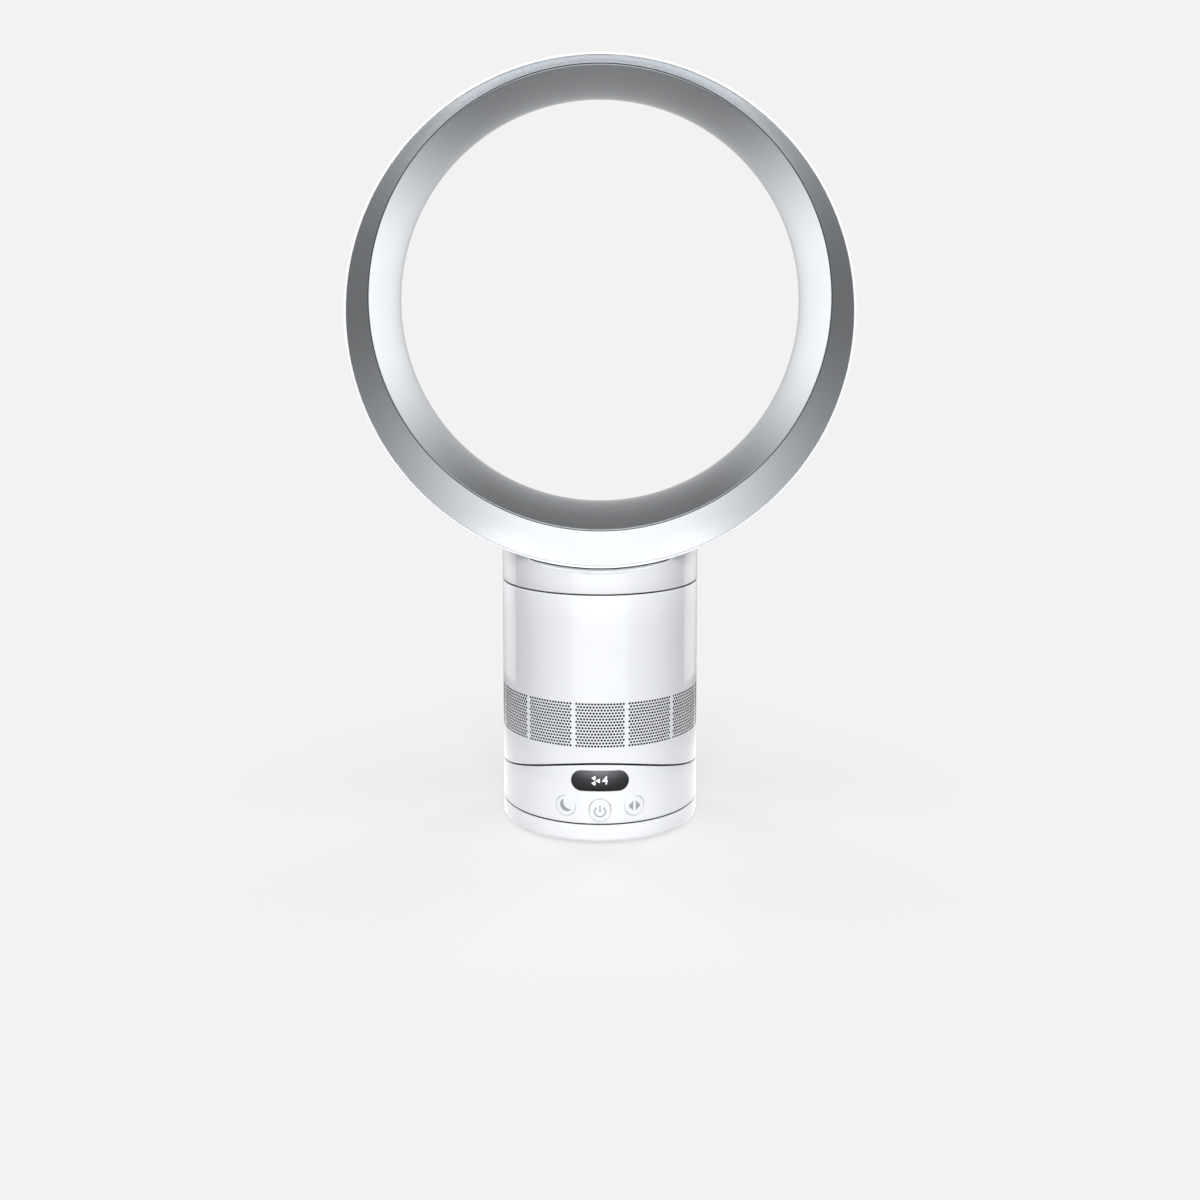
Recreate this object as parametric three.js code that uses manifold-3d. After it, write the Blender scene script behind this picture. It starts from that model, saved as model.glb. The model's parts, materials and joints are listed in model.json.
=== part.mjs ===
// Bladeless desk fan: a ring nozzle on a round motor body, which tilts on a control section that swings on a foot.
// Millimetres, +Z up, the front faces -Y. The origin is at the middle of the plane that the foot rests on.

import * as THREE from "three";
import { mergeVertices } from "three/addons/utils/BufferGeometryUtils.js";
import Module from "manifold-3d";

// ---- Driving dimensions ----

// Body: foot, control section, casing and neck share one outer cylinder.
const BODY_R = 73; // outer radius
const WALL = 2.4; // moulded wall
const GAP = 0.3; // clearance between pieces that touch
const SEAM = 1.0; // open line between sections that move or come apart
const RIB = 2.6; // how far an inner rib stands in from the wall, and its height

// Foot
const FOOT_TOP = 14.2; // height of the swing seam's lower edge
const FOOT_EDGE = 3; // rounding of the foot's lower edge
const PAD_DROP = 1.2; // how far the rubber ring stands below the foot
const PAD_SINK = 1.0; // depth of the groove that holds it
const PAD_INSET = 11; // from the body's side in to the middle of the rubber ring
const PAD_W = 5; // its width
const BALLAST_INSET = 9; // steel weight in the foot
const BALLAST_T = 3.6;
const BEARING_INSET = 15; // to the middle of the ring that the control section turns on
const BEARING_W = 5;
const CABLE_R = 10; // cable way through the middle of foot, gear and floor
const INLET_R = 4.2; // power inlet's barrel
const INLET_BORE_R = 2.8;
const INLET_PIN_R = 0.8;
const INLET_L = 9;

// Swing drive
const TOOTH_MODULE = 1.25;
const GEAR_TEETH = 36; // fixed to the foot
const PINION_TEETH = 12; // on the swing motor
const GEAR_T = 3.6; // face width
const BACKLASH = 0.3;
const PRESSURE_ANGLE = THREE.MathUtils.degToRad(20);
const SWING_MOTOR_R = 20;
const SWING_MOTOR_H = 14;
const SWING_SHAFT_R = 2.5;

// Tilt saddle: a cylinder about the tilt axis, which runs along X above the body.
const SADDLE_Z = 44; // lowest point of the saddle
const SADDLE_R = 182; // its radius, which sets the height of the tilt axis
const SADDLE_T = 3; // plates on either side of it
const TILT_DEG = 10; // travel each way
const RAIL_INSET = 35; // rails that hold the two plates together, in from the body's side
const RAIL_HALF_DEG = 4;
const RAIL_WEB = 3;
const RAIL_FLANGE = 9;
const RAIL_T = 2.4;
const RAIL_TO_PAD = 18; // from a rail in to the friction pad beside it
const PAD_HALF_DEG = 6;
const PAD_WIDTH = 8;
const POCKET_DEPTH = 1.6;

// Control section
const DISPLAY_Z = 46.8;
const DISPLAY_W = 41.4;
const DISPLAY_H = 15.4;
const LENS_T = 1.6;
const POWER_Z = 25.4;
const POWER_R = 7.8;
const POWER_PROUD = 2.2; // how far the power button stands out of the body
const DISH_R = 9.7; // shallow dish round the power button
const SIDE_BUTTON_Z = 27.5;
const SIDE_BUTTON_DEG = 19.7;
const SIDE_BUTTON_R = 7.2;
const SIDE_BUTTON_PROUD = 0.4;
const BUTTON_TRAVEL = 1.2;
const STEM_R = 2;
const BOARD_T = 1.6;
const BOARD_INSET = 17; // from the body's front to the control board
const BOARD_W = 58;
const SWITCH_SIDE = 6;
const SWITCH_T = 3.5;

// Motor body
const CASING_TOP = 180.6; // height of the top seam's lower edge
const CARRIAGE_TOP = 64; // rim of the cup that closes the casing below
const GRILLE_PANELS = 12;
const GRILLE_COLUMNS = 3; // holes across one panel
const GRILLE_ROWS = 2;
const GRILLE_LOW = 71.4; // edges of the perforated band
const GRILLE_HIGH = 103.4;
const GRILLE_HOLE_R = 3.6;
const GRILLE_COLUMN_DEG = 7.5;
const FOAM_T = 3.2;
const LINER_T = 2; // foam liner behind the perforated band
const MAIN_BOARD_INSET = 35; // from the body's side to the middle of an edge of the main board
const POST_R = 3;

// Impeller, housing and motor, all about the body's axis
const DUCT_GAP = 12; // from the body's side to the impeller housing
const EYE_INSET = 25; // from the housing's side to the throat that draws the air in
const HOUSING_LOW = 82;
const HOUSING_TOP = 162;
const HOUSING_WALL = 1.8;
const BLADES = 9;
const BLADE_T = 1.6;
const BLADE_WRAP = 0.9; // radians that a blade winds through
const IMPELLER_LOW = 88;
const IMPELLER_H = 34;
const IMPELLER_EYE_R = 13;
const TIP_CLEARANCE = 1.2;
const ANNULUS = 23; // from the housing's side to the motor bucket
const HUB_OVERHANG = 4; // how far the impeller's hub reaches past the bucket
const BUCKET_WALL = 1.8;
const BUCKET_H = 38;
const DIFFUSER_VANES = 11;
const DIFFUSER_H = 22;
const STATOR_INSET = 8; // from the bucket's side to the stator
const STATOR_BORE_R = 13.6;
const STATOR_H = 18;
const ROTOR_R = 13;
const SHAFT_R = 3;
const BALL_BEARING_R = 8;
const BALL_BEARING_T = 4;
const MOUNT_H = 4.5; // rubber ring that carries the housing
const SEAL_T = 3;
const NOSE_H = 22; // fairing above the motor
const NOSE_VANES = 6;

// Ring nozzle: the bore is higher than the outside, so the duct is deepest above the neck.
const RING_R = 179;
const NECK_RISE = 15.4; // from the top seam up to the lowest point of the ring
const BORE_LIFT = 9; // how much higher the bore's centre is
const GUIDE_BAND = 16; // from the outer circle in to the crease
const FLARE = 14; // from the crease in to the throat
const RIM_Y = -55; // front rim
const CREASE_Y = -40;
const THROAT_Y = 18;
const CASING_BACK_Y = 32; // where the outer wall meets the rear ring
const REAR_Y = 50;
const TAPER = 7; // how much the outer wall draws in from front to back
const LIP_T = 1.3; // white edge outside the front guide
const RING_WALL = 2;
const SLOT = 1.2; // air slot
const SLOT_Y = 33; // end of the rear ring's lip
const NOSE_RISE = 4.6; // how far the bore's surface rises from the throat back to the slot
const SLOT_OVERLAP = 3; // how far the two walls of the slot run side by side
const SLOT_SPACERS = 10;
const PASSAGE_INSET = 21; // from the body's side to the air way from the neck into the ring
const PASSAGE_FRONT_INSET = 33;
const PASSAGE_BACK = 24;

// Facets
const SIDES = 40;
const CORE_SIDES = 20;
const SMALL_SIDES = 12;
const HOLE_SIDES = 4;
const RING_SIDES = 48;
const SADDLE_SIDES = 72;
const WALL_STEPS = 4; // along the ring's outer wall

// ---- Sizes that follow ----

const INNER_R = BODY_R - WALL;
const FIT_R = INNER_R - GAP; // pieces that sit inside the wall
const PAD_R = BODY_R - PAD_INSET;
const BALLAST_R = BODY_R - BALLAST_INSET;
const BEARING_R = BODY_R - BEARING_INSET;
const RAIL_X = BODY_R - RAIL_INSET;
const PAD_X = RAIL_X - RAIL_TO_PAD;
const BOARD_Y = BODY_R - BOARD_INSET;
const MAIN_BOARD_SIDE = 2 * (BODY_R - MAIN_BOARD_INSET);
const HOUSING_R = BODY_R - DUCT_GAP;
const INLET_EYE_R = HOUSING_R - EYE_INSET;
const BUCKET_R = HOUSING_R - ANNULUS;
const IMPELLER_BACK_R = BUCKET_R + HUB_OVERHANG;
const STATOR_R = BUCKET_R - STATOR_INSET;
const PASSAGE_X = BODY_R - PASSAGE_INSET;
const PASSAGE_FRONT = BODY_R - PASSAGE_FRONT_INSET;
const FOOT_FLOOR = PAD_DROP + WALL;
const CONTROL_LOW = FOOT_TOP + SEAM;
const FLOOR_TOP = CONTROL_LOW + WALL;
const TILT_Z = SADDLE_Z + SADDLE_R;
const CRADLE_R = SADDLE_R + SEAM / 2; // top of the control section
const CARRIAGE_R = SADDLE_R - SEAM / 2; // underside of the motor body
const PITCH_R = (TOOTH_MODULE * GEAR_TEETH) / 2;
const PINION_PITCH_R = (TOOTH_MODULE * PINION_TEETH) / 2;
const PINION_Y = PITCH_R + PINION_PITCH_R;
const GEAR_LOW = FOOT_FLOOR + GAP + BALLAST_T + GAP;
const NECK_LOW = CASING_TOP + SEAM;
const MOUNT_RIB_Z = HOUSING_TOP - MOUNT_H - GAP;
const SEAL_RIB_Z = CASING_TOP - MOUNT_H;
const BUCKET_LOW = IMPELLER_LOW + IMPELLER_H + 2 * GAP + 1;
const BUCKET_TOP = BUCKET_LOW + BUCKET_H;
const STATOR_LOW = BUCKET_LOW + (BUCKET_H - STATOR_H) / 2;
const RING_Z = NECK_LOW + NECK_RISE + RING_R; // centre height of the outer circle
const BORE_Z = RING_Z + BORE_LIFT;
const CREASE_R = RING_R - GUIDE_BAND;
const THROAT_R = CREASE_R - FLARE;
const BACK_R = RING_R - TAPER;

// ---- Materials ----

const paint = (color, roughness, metalness) => new THREE.MeshStandardMaterial({ color, roughness, metalness });
const white = paint(0xf4f5f6, 0.18, 0);
const silver = paint(0xb4b9be, 0.28, 0.85);
const black = paint(0x17181a, 0.1, 0);
const steel = paint(0x9a9fa5, 0.35, 1);
const copper = paint(0xa9663c, 0.4, 0.9);
const nylon = paint(0xe3e1d8, 0.5, 0);
const darkNylon = paint(0x3a3d40, 0.55, 0);
const rubber = paint(0x2a2b2c, 0.85, 0);
const foam = paint(0x4b4d50, 0.95, 0);
const board = paint(0x1f5a3a, 0.5, 0);

// ---- Helpers ----

const wasm = await Module();
wasm.setup();

// A closed geometry as a solid that can be cut and joined.
function solid(geometry) {
  const bare = geometry.index ? geometry.toNonIndexed() : geometry.clone();
  bare.deleteAttribute("normal");
  bare.deleteAttribute("uv");
  const merged = mergeVertices(bare, 1e-4);
  const shape = new wasm.Mesh({
    numProp: 3,
    vertProperties: merged.attributes.position.array,
    triVerts: new Uint32Array(merged.index.array),
  });
  return new wasm.Manifold(shape);
}

function toGeometry(shape) {
  const cut = shape.getMesh();
  const geometry = new THREE.BufferGeometry();
  geometry.setAttribute("position", new THREE.BufferAttribute(cut.vertProperties, 3));
  geometry.setIndex(new THREE.BufferAttribute(cut.triVerts, 1));
  geometry.computeVertexNormals();
  return geometry;
}

function piece(name, shape, material) {
  const geometry = shape.isBufferGeometry ? shape : toGeometry(shape);
  const mesh = new THREE.Mesh(geometry, material);
  mesh.name = name;
  return mesh;
}

const joined = (shapes) => shapes.reduce((sum, shape) => sum.add(shape));
const less = (shape, cuts) => cuts.reduce((rest, cut) => rest.subtract(cut), shape);

// Points go round the profile so that its faces look outwards.
function outward(points) {
  const area = points.reduce((sum, [r, h], i) => {
    const [nextR, nextH] = points[(i + 1) % points.length];
    return sum + r * nextH - nextR * h;
  }, 0);
  return area < 0 ? [...points].reverse() : points;
}

// A profile of [radius, height] turned about Z. It closes on itself, or on the axis where it touches that.
function turned(profile, sides = SIDES) {
  const points = outward(profile);
  const path = points.map(([r, z]) => new THREE.Vector2(r, z));
  path.push(path[0].clone());
  return new THREE.LatheGeometry(path, sides).rotateX(Math.PI / 2);
}

const tube = (inner, outer, low, high, sides = SIDES) =>
  turned([[inner, low], [outer, low], [outer, high], [inner, high]], sides);

const disc = (radius, low, high, sides = SIDES) => turned([[0, low], [radius, low], [radius, high], [0, high]], sides);

// The same profile turned about a line that runs out of the body's front at a height and an angle.
const facing = (profile, height, angle = 0, sides = CORE_SIDES) =>
  turned(profile, sides).rotateX(Math.PI / 2).translate(0, 0, height).rotateZ(angle);

const box = (x, y, z, width, depth, height) => new THREE.BoxGeometry(width, depth, height).translate(x, y, z);

// A round bar along X about the tilt axis.
const tiltDrum = (radius) =>
  new THREE.CylinderGeometry(radius, radius, 4 * BODY_R, SADDLE_SIDES).rotateZ(Math.PI / 2).translate(0, 0, TILT_Z);

// A bar that follows the saddle: an arc about the tilt axis, between two radii, as wide as stated along X.
function saddleBar(inner, outer, halfDeg, x, width) {
  const steps = Math.max(2, Math.ceil(halfDeg / 2));
  const half = THREE.MathUtils.degToRad(halfDeg);
  const arc = (radius, sign) =>
    Array.from({ length: steps + 1 }, (_, i) => {
      const angle = sign * half * ((2 * i) / steps - 1);
      return new THREE.Vector2(radius * Math.sin(angle), -radius * Math.cos(angle));
    });
  const shape = new THREE.Shape([...arc(outer, 1), ...arc(inner, -1)]);
  const bar = new THREE.ExtrudeGeometry(shape, { depth: width, bevelEnabled: false });
  const [X, Y, Z] = [new THREE.Vector3(1, 0, 0), new THREE.Vector3(0, 1, 0), new THREE.Vector3(0, 0, 1)];
  return bar.applyMatrix4(new THREE.Matrix4().makeBasis(Y, Z, X)).translate(x - width / 2, 0, TILT_Z);
}

// A ring about Y from [radius, y, centre height] points. Circles of one ring may have different centres.
function eccentricRing(profile) {
  const points = outward(profile);
  const path = points.map(([r, y]) => new THREE.Vector2(r, y));
  path.push(path[0].clone());
  const geometry = new THREE.LatheGeometry(path, RING_SIDES);
  const position = geometry.getAttribute("position");
  for (let i = 0; i < position.count; i++) {
    const centre = points[(i % path.length) % points.length][2];
    position.setZ(i, position.getZ(i) + centre);
  }
  return geometry;
}

// A curved plate between two faces given as functions of u (root to tip) and v (along its length).
function plate(face, back, uSteps, vSteps) {
  const corners = [];
  for (const side of [face, back]) {
    for (let i = 0; i <= uSteps; i++) {
      for (let j = 0; j <= vSteps; j++) corners.push(...side(i / uSteps, j / vSteps));
    }
  }
  const row = vSteps + 1;
  const behind = (uSteps + 1) * row;
  const quads = [];
  for (let i = 0; i < uSteps; i++) {
    for (let j = 0; j < vSteps; j++) {
      const a = i * row + j;
      quads.push([a, a + row, a + row + 1, a + 1]);
      quads.push([behind + a, behind + a + 1, behind + a + row + 1, behind + a + row]);
    }
  }
  for (let i = 0; i < uSteps; i++) {
    const low = i * row;
    const high = i * row + vSteps;
    quads.push([low + row, low, behind + low, behind + low + row]);
    quads.push([high, high + row, behind + high + row, behind + high]);
  }
  for (let j = 0; j < vSteps; j++) {
    const tip = uSteps * row + j;
    quads.push([j, j + 1, behind + j + 1, behind + j]);
    quads.push([tip + 1, tip, behind + tip, behind + tip + 1]);
  }
  const geometry = new THREE.BufferGeometry();
  geometry.setAttribute("position", new THREE.Float32BufferAttribute(corners, 3));
  geometry.setIndex(quads.flatMap(([a, b, c, d]) => [a, b, c, a, c, d]));
  return geometry;
}

// A set of like blades round Z. Each runs from rootR(z) to tipR(z) and winds through an angle on its way up.
function bladeRow(count, low, height, rootR, tipR, wrap, steps) {
  const at = (turn, side) => (u, v) => {
    const z = low + v * height;
    const radius = rootR(z) + u * (tipR(z) - rootR(z));
    const angle = turn + wrap * v + (side * BLADE_T) / 2 / radius;
    return [radius * Math.cos(angle), radius * Math.sin(angle), z];
  };
  return Array.from({ length: count }, (_, i) => {
    const turn = (i * 2 * Math.PI) / count;
    return solid(plate(at(turn, -1), at(turn, 1), 1, steps));
  });
}

// Straight-flanked spur teeth that touch an involute at root and tip.
function gearShape(teeth, boreR) {
  const pitchR = (TOOTH_MODULE * teeth) / 2;
  const baseR = pitchR * Math.cos(PRESSURE_ANGLE);
  const rootR = pitchR - 1.1 * TOOTH_MODULE;
  const tipR = pitchR + 0.75 * TOOTH_MODULE;
  const involute = (a) => Math.tan(a) - a;
  const halfAt = (r) => {
    const slope = Math.acos(Math.min(1, baseR / r));
    return Math.PI / (2 * teeth) + involute(PRESSURE_ANGLE) - involute(slope) - BACKLASH / 2 / pitchR;
  };
  const shape = new THREE.Shape();
  for (let i = 0; i < teeth; i++) {
    const middle = (i * 2 * Math.PI) / teeth;
    const corners = [[rootR, -halfAt(rootR)], [tipR, -halfAt(tipR)], [tipR, halfAt(tipR)], [rootR, halfAt(rootR)]];
    for (const [r, offset] of corners) {
      const [x, y] = [r * Math.cos(middle + offset), r * Math.sin(middle + offset)];
      if (i === 0 && r === rootR && offset < 0) shape.moveTo(x, y);
      else shape.lineTo(x, y);
    }
  }
  shape.holes.push(new THREE.Path().absarc(0, 0, boreR, 0, 2 * Math.PI, true));
  return shape;
}

// ---- Foot ----

function footShell() {
  const corner = Array.from({ length: 3 }, (_, i) => {
    const turn = (i / 2) * (Math.PI / 2);
    return [
      BODY_R - FOOT_EDGE + FOOT_EDGE * Math.sin(turn),
      PAD_DROP + FOOT_EDGE - FOOT_EDGE * Math.cos(turn),
    ];
  });
  const profile = [
    [CABLE_R, PAD_DROP],
    ...corner,
    [BODY_R, FOOT_TOP],
    [INNER_R, FOOT_TOP],
    [INNER_R, FOOT_FLOOR],
    [CABLE_R, FOOT_FLOOR],
  ];
  const groove = tube(PAD_R - PAD_W / 2 - GAP, PAD_R + PAD_W / 2 + GAP, 0, PAD_DROP + PAD_SINK);
  const inletHole = facing(
    [[0, INNER_R - WALL], [INLET_R + GAP, INNER_R - WALL], [INLET_R + GAP, BODY_R + WALL], [0, BODY_R + WALL]],
    inletHeight(),
    Math.PI,
    SMALL_SIDES,
  );
  return less(solid(turned(profile)), [solid(groove), solid(inletHole)]);
}

const inletHeight = () => FOOT_FLOOR + INLET_R + GAP;

const footPadRing = () => tube(PAD_R - PAD_W / 2, PAD_R + PAD_W / 2, 0, PAD_DROP + PAD_SINK - GAP);

function ballastPlate() {
  const plateLow = FOOT_FLOOR + GAP;
  const notch = box(0, BALLAST_R, plateLow, 2 * INLET_R + 6, 2 * (BALLAST_R - INNER_R + INLET_L + WALL), 4 * BALLAST_T);
  return solid(tube(CABLE_R, BALLAST_R, plateLow, plateLow + BALLAST_T, CORE_SIDES)).subtract(solid(notch));
}

const bearingRing = () =>
  tube(BEARING_R - BEARING_W / 2, BEARING_R + BEARING_W / 2, GEAR_LOW, CONTROL_LOW - GAP, CORE_SIDES);

// Barrel socket with a centre pin, its mouth flush with the back of the foot.
function inletSocket() {
  const mouth = BODY_R - GAP;
  const profile = [
    [0, mouth - INLET_L],
    [INLET_R, mouth - INLET_L],
    [INLET_R, mouth],
    [INLET_BORE_R, mouth],
    [INLET_BORE_R, mouth - INLET_L + WALL],
    [INLET_PIN_R, mouth - INLET_L + WALL],
    [INLET_PIN_R, mouth - WALL / 2],
    [0, mouth - WALL / 2],
  ];
  return facing(profile, inletHeight(), Math.PI, SMALL_SIDES);
}

// ---- Swing drive ----

const swingGear = () =>
  new THREE.ExtrudeGeometry(gearShape(GEAR_TEETH, CABLE_R), { depth: GEAR_T, bevelEnabled: false, curveSegments: 12 })
    .translate(0, 0, GEAR_LOW);

// Turned by half a tooth, so that a gap of the pinion meets a tooth of the gear.
function swingPinion() {
  const toothFaces = new THREE.ExtrudeGeometry(gearShape(PINION_TEETH, SWING_SHAFT_R), {
    depth: GEAR_T,
    bevelEnabled: false,
    curveSegments: 6,
  });
  const turn = -Math.PI / 2 + Math.PI / PINION_TEETH;
  return toothFaces.rotateZ(turn).translate(0, PINION_Y, GEAR_LOW + GAP);
}

// Flat gear motor on the floor, with the drive shaft below it.
function swingMotor() {
  const low = FLOOR_TOP + GAP;
  const profile = [
    [0, GEAR_LOW + GAP],
    [SWING_SHAFT_R - GAP, GEAR_LOW + GAP],
    [SWING_SHAFT_R - GAP, low],
    [SWING_MOTOR_R, low],
    [SWING_MOTOR_R, low + SWING_MOTOR_H - WALL],
    [SWING_MOTOR_R - WALL, low + SWING_MOTOR_H],
    [0, low + SWING_MOTOR_H],
  ];
  return turned(profile, CORE_SIDES).translate(0, PINION_Y, 0);
}

// ---- Control section ----

const pillShape = (width, height) => {
  const half = width / 2 - height / 2;
  const shape = new THREE.Shape();
  shape.absarc(half, 0, height / 2, -Math.PI / 2, Math.PI / 2, false);
  shape.absarc(-half, 0, height / 2, Math.PI / 2, (3 * Math.PI) / 2, false);
  return shape;
};

const pillBar = (width, height) =>
  new THREE.ExtrudeGeometry(pillShape(width, height), { depth: BODY_R, bevelEnabled: false, curveSegments: 8 })
    .translate(0, 0, BODY_R / 2)
    .rotateX(Math.PI / 2)
    .translate(0, 0, DISPLAY_Z);

const roundHole = (radius, height, angle) =>
  solid(facing([[0, BODY_R / 2], [radius, BODY_R / 2], [radius, 2 * BODY_R], [0, 2 * BODY_R]], height, angle));

const sideAngles = { sleep_button: -1, swing_button: 1 };
const sideAngle = (name) => THREE.MathUtils.degToRad(sideAngles[name] * SIDE_BUTTON_DEG);

function controlShell() {
  const wall = solid(tube(INNER_R, BODY_R, CONTROL_LOW, TILT_Z));
  const ledge = solid(tube(INNER_R - RIB, INNER_R + WALL / 2, CONTROL_LOW, TILT_Z)).subtract(
    solid(tiltDrum(CRADLE_R + SADDLE_T + GAP)),
  );
  const ledgeLow = solid(tiltDrum(CRADLE_R + SADDLE_T + GAP + RIB));
  const holes = [
    solid(pillBar(DISPLAY_W, DISPLAY_H)),
    roundHole(DISH_R + GAP, POWER_Z, 0),
    ...Object.keys(sideAngles).map((name) => roundHole(SIDE_BUTTON_R + GAP, SIDE_BUTTON_Z, sideAngle(name))),
  ];
  const shell = wall.subtract(solid(tiltDrum(CRADLE_R))).add(ledge.intersect(ledgeLow));
  return less(shell, holes);
}

function controlFloor() {
  const plateSolid = solid(tube(CABLE_R, FIT_R, CONTROL_LOW, FLOOR_TOP));
  const shaftHole = disc(SWING_SHAFT_R + 1, FOOT_TOP, 2 * FLOOR_TOP, SMALL_SIDES).translate(0, PINION_Y, 0);
  const reach = BODY_R - BOARD_Y - BOARD_T;
  const notch = box(0, -BODY_R, CONTROL_LOW, 2 * DISH_R + 4, 2 * (reach - 1), 4 * WALL);
  return less(plateSolid, [solid(shaftHole), solid(notch)]);
}

// Board that stands on the floor and carries one switch behind each button.
function controlBoard() {
  const low = FLOOR_TOP + GAP;
  const high = TILT_Z - Math.sqrt((CRADLE_R + SADDLE_T + GAP + RIB) ** 2 - BOARD_Y ** 2);
  const slab = box(0, -BOARD_Y, (low + high) / 2, BOARD_W, BOARD_T, high - low);
  const switchMiddle = -BOARD_Y - SWITCH_T / 2;
  const switches = [[0, POWER_Z], ...[-1, 1].map((s) => [s * BOARD_Y * Math.tan(sideAngle("swing_button")), SIDE_BUTTON_Z])];
  return joined([
    solid(slab),
    ...switches.map(([x, z]) => solid(box(x, switchMiddle, z, SWITCH_SIDE, SWITCH_T, SWITCH_SIDE))),
  ]);
}

const displayModule = () => {
  const back = BOARD_Y + BOARD_T / 2 + GAP;
  const front = Math.sqrt((BODY_R - LENS_T - GAP) ** 2 - (DISPLAY_W / 4) ** 2);
  return box(0, -(back + front) / 2, DISPLAY_Z - WALL, DISPLAY_W / 2, front - back, DISPLAY_H / 2);
};

const displayLens = () =>
  solid(pillBar(DISPLAY_W - 2 * GAP, DISPLAY_H - 2 * GAP)).intersect(
    solid(tube(BODY_R - LENS_T, BODY_R, CONTROL_LOW, TILT_Z)),
  );

// Dish that the power button stands in: its face falls from the body's surface to the button's edge.
const powerDish = () =>
  facing(
    [
      [POWER_R + GAP, INNER_R],
      [DISH_R, INNER_R],
      [DISH_R, BODY_R - 0.7],
      [DISH_R - 0.4, BODY_R - 0.8],
      [POWER_R + GAP, INNER_R + WALL / 3],
    ],
    POWER_Z,
  );

// Where a button's stem ends, so that its nearest edge clears the switch when it is pressed at an angle.
const stemEnd = (angle = 0) => {
  const tilt = Math.abs(angle);
  return (BOARD_Y + SWITCH_T + GAP + STEM_R * Math.sin(tilt)) / Math.cos(tilt) + BUTTON_TRAVEL;
};

const powerButton = () =>
  facing(
    [
      [0, stemEnd()],
      [STEM_R, stemEnd()],
      [STEM_R, INNER_R - BUTTON_TRAVEL],
      [POWER_R, INNER_R - BUTTON_TRAVEL],
      [POWER_R, BODY_R + POWER_PROUD - 0.8],
      [POWER_R - 0.8, BODY_R + POWER_PROUD],
      [0, BODY_R + POWER_PROUD],
    ],
    POWER_Z,
  );

// A side button follows the curve of the body, just proud of it, with a flange behind the wall.
function sideButton(name) {
  const flangeOut = INNER_R - BUTTON_TRAVEL / 2;
  const profile = [
    [0, stemEnd(sideAngle(name))],
    [STEM_R, stemEnd(sideAngle(name))],
    [STEM_R, flangeOut - WALL / 2],
    [SIDE_BUTTON_R, flangeOut - WALL / 2],
    [SIDE_BUTTON_R, BODY_R + WALL],
    [0, BODY_R + WALL],
  ];
  const face = disc(BODY_R + SIDE_BUTTON_PROUD, CONTROL_LOW, TILT_Z);
  return solid(facing(profile, SIDE_BUTTON_Z, sideAngle(name))).intersect(solid(face));
}

// ---- Tilt saddle ----

const slotHalfDeg = () => RAIL_HALF_DEG + TILT_DEG + 1.5;

function tiltCradle() {
  const plateSolid = solid(disc(FIT_R, CONTROL_LOW, TILT_Z))
    .intersect(solid(tiltDrum(CRADLE_R + SADDLE_T)))
    .subtract(solid(tiltDrum(CRADLE_R)));
  const slots = [-RAIL_X, RAIL_X].map((x) =>
    solid(saddleBar(SADDLE_R - SADDLE_T, CRADLE_R + 2 * SADDLE_T, slotHalfDeg(), x, RAIL_WEB + 4 * GAP)),
  );
  const pockets = [-PAD_X, PAD_X].map((x) =>
    solid(saddleBar(SADDLE_R - SADDLE_T, CRADLE_R + POCKET_DEPTH, PAD_HALF_DEG + 0.2, x, PAD_WIDTH + 2 * GAP)),
  );
  const cableSlot = saddleBar(SADDLE_R - SADDLE_T, CRADLE_R + 2 * SADDLE_T, slotHalfDeg() / 2, 0, CABLE_R);
  return less(plateSolid, [...slots, ...pockets, solid(cableSlot)]);
}

const frictionPad = (side) =>
  saddleBar(CARRIAGE_R + GAP, CRADLE_R + POCKET_DEPTH - GAP, PAD_HALF_DEG, side * PAD_X, PAD_WIDTH);

// Cup that closes the casing below: a saddle-shaped floor, board posts, and the rails that hold it to the cradle.
function tiltCarriage() {
  const outside = solid(disc(FIT_R, CONTROL_LOW, CARRIAGE_TOP)).intersect(solid(tiltDrum(CARRIAGE_R)));
  const inside = solid(disc(FIT_R - WALL, CONTROL_LOW, 2 * CARRIAGE_TOP)).intersect(
    solid(tiltDrum(CARRIAGE_R - SADDLE_T)),
  );
  const postAt = MAIN_BOARD_SIDE / 2 - 2 * POST_R;
  const postTop = mainBoardLow() - GAP;
  const posts = [-1, 1].flatMap((sx) =>
    [-1, 1].map((sy) => disc(POST_R, SADDLE_Z, postTop, SMALL_SIDES).translate(sx * postAt, sy * postAt, 0)),
  );
  const standing = posts.map((post) => solid(post).intersect(solid(tiltDrum(CARRIAGE_R - SADDLE_T / 2))));
  const flangeIn = CRADLE_R + SADDLE_T + 2 * GAP;
  const rails = [-RAIL_X, RAIL_X].flatMap((x) => [
    solid(saddleBar(CARRIAGE_R - SADDLE_T / 2, flangeIn + RAIL_T, RAIL_HALF_DEG, x, RAIL_WEB)),
    solid(saddleBar(flangeIn, flangeIn + RAIL_T, RAIL_HALF_DEG, x, RAIL_FLANGE)),
  ]);
  const cableHole = solid(disc(CABLE_R, 0, CARRIAGE_TOP / 2 + SADDLE_Z / 2, SMALL_SIDES));
  return joined([outside.subtract(inside).subtract(cableHole), ...standing, ...rails]);
}

const mainBoardLow = () => CARRIAGE_TOP - 2 * BOARD_T;

const mainBoard = () => box(0, 0, mainBoardLow() + BOARD_T / 2, MAIN_BOARD_SIDE, MAIN_BOARD_SIDE, BOARD_T);

// ---- Motor body ----

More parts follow.
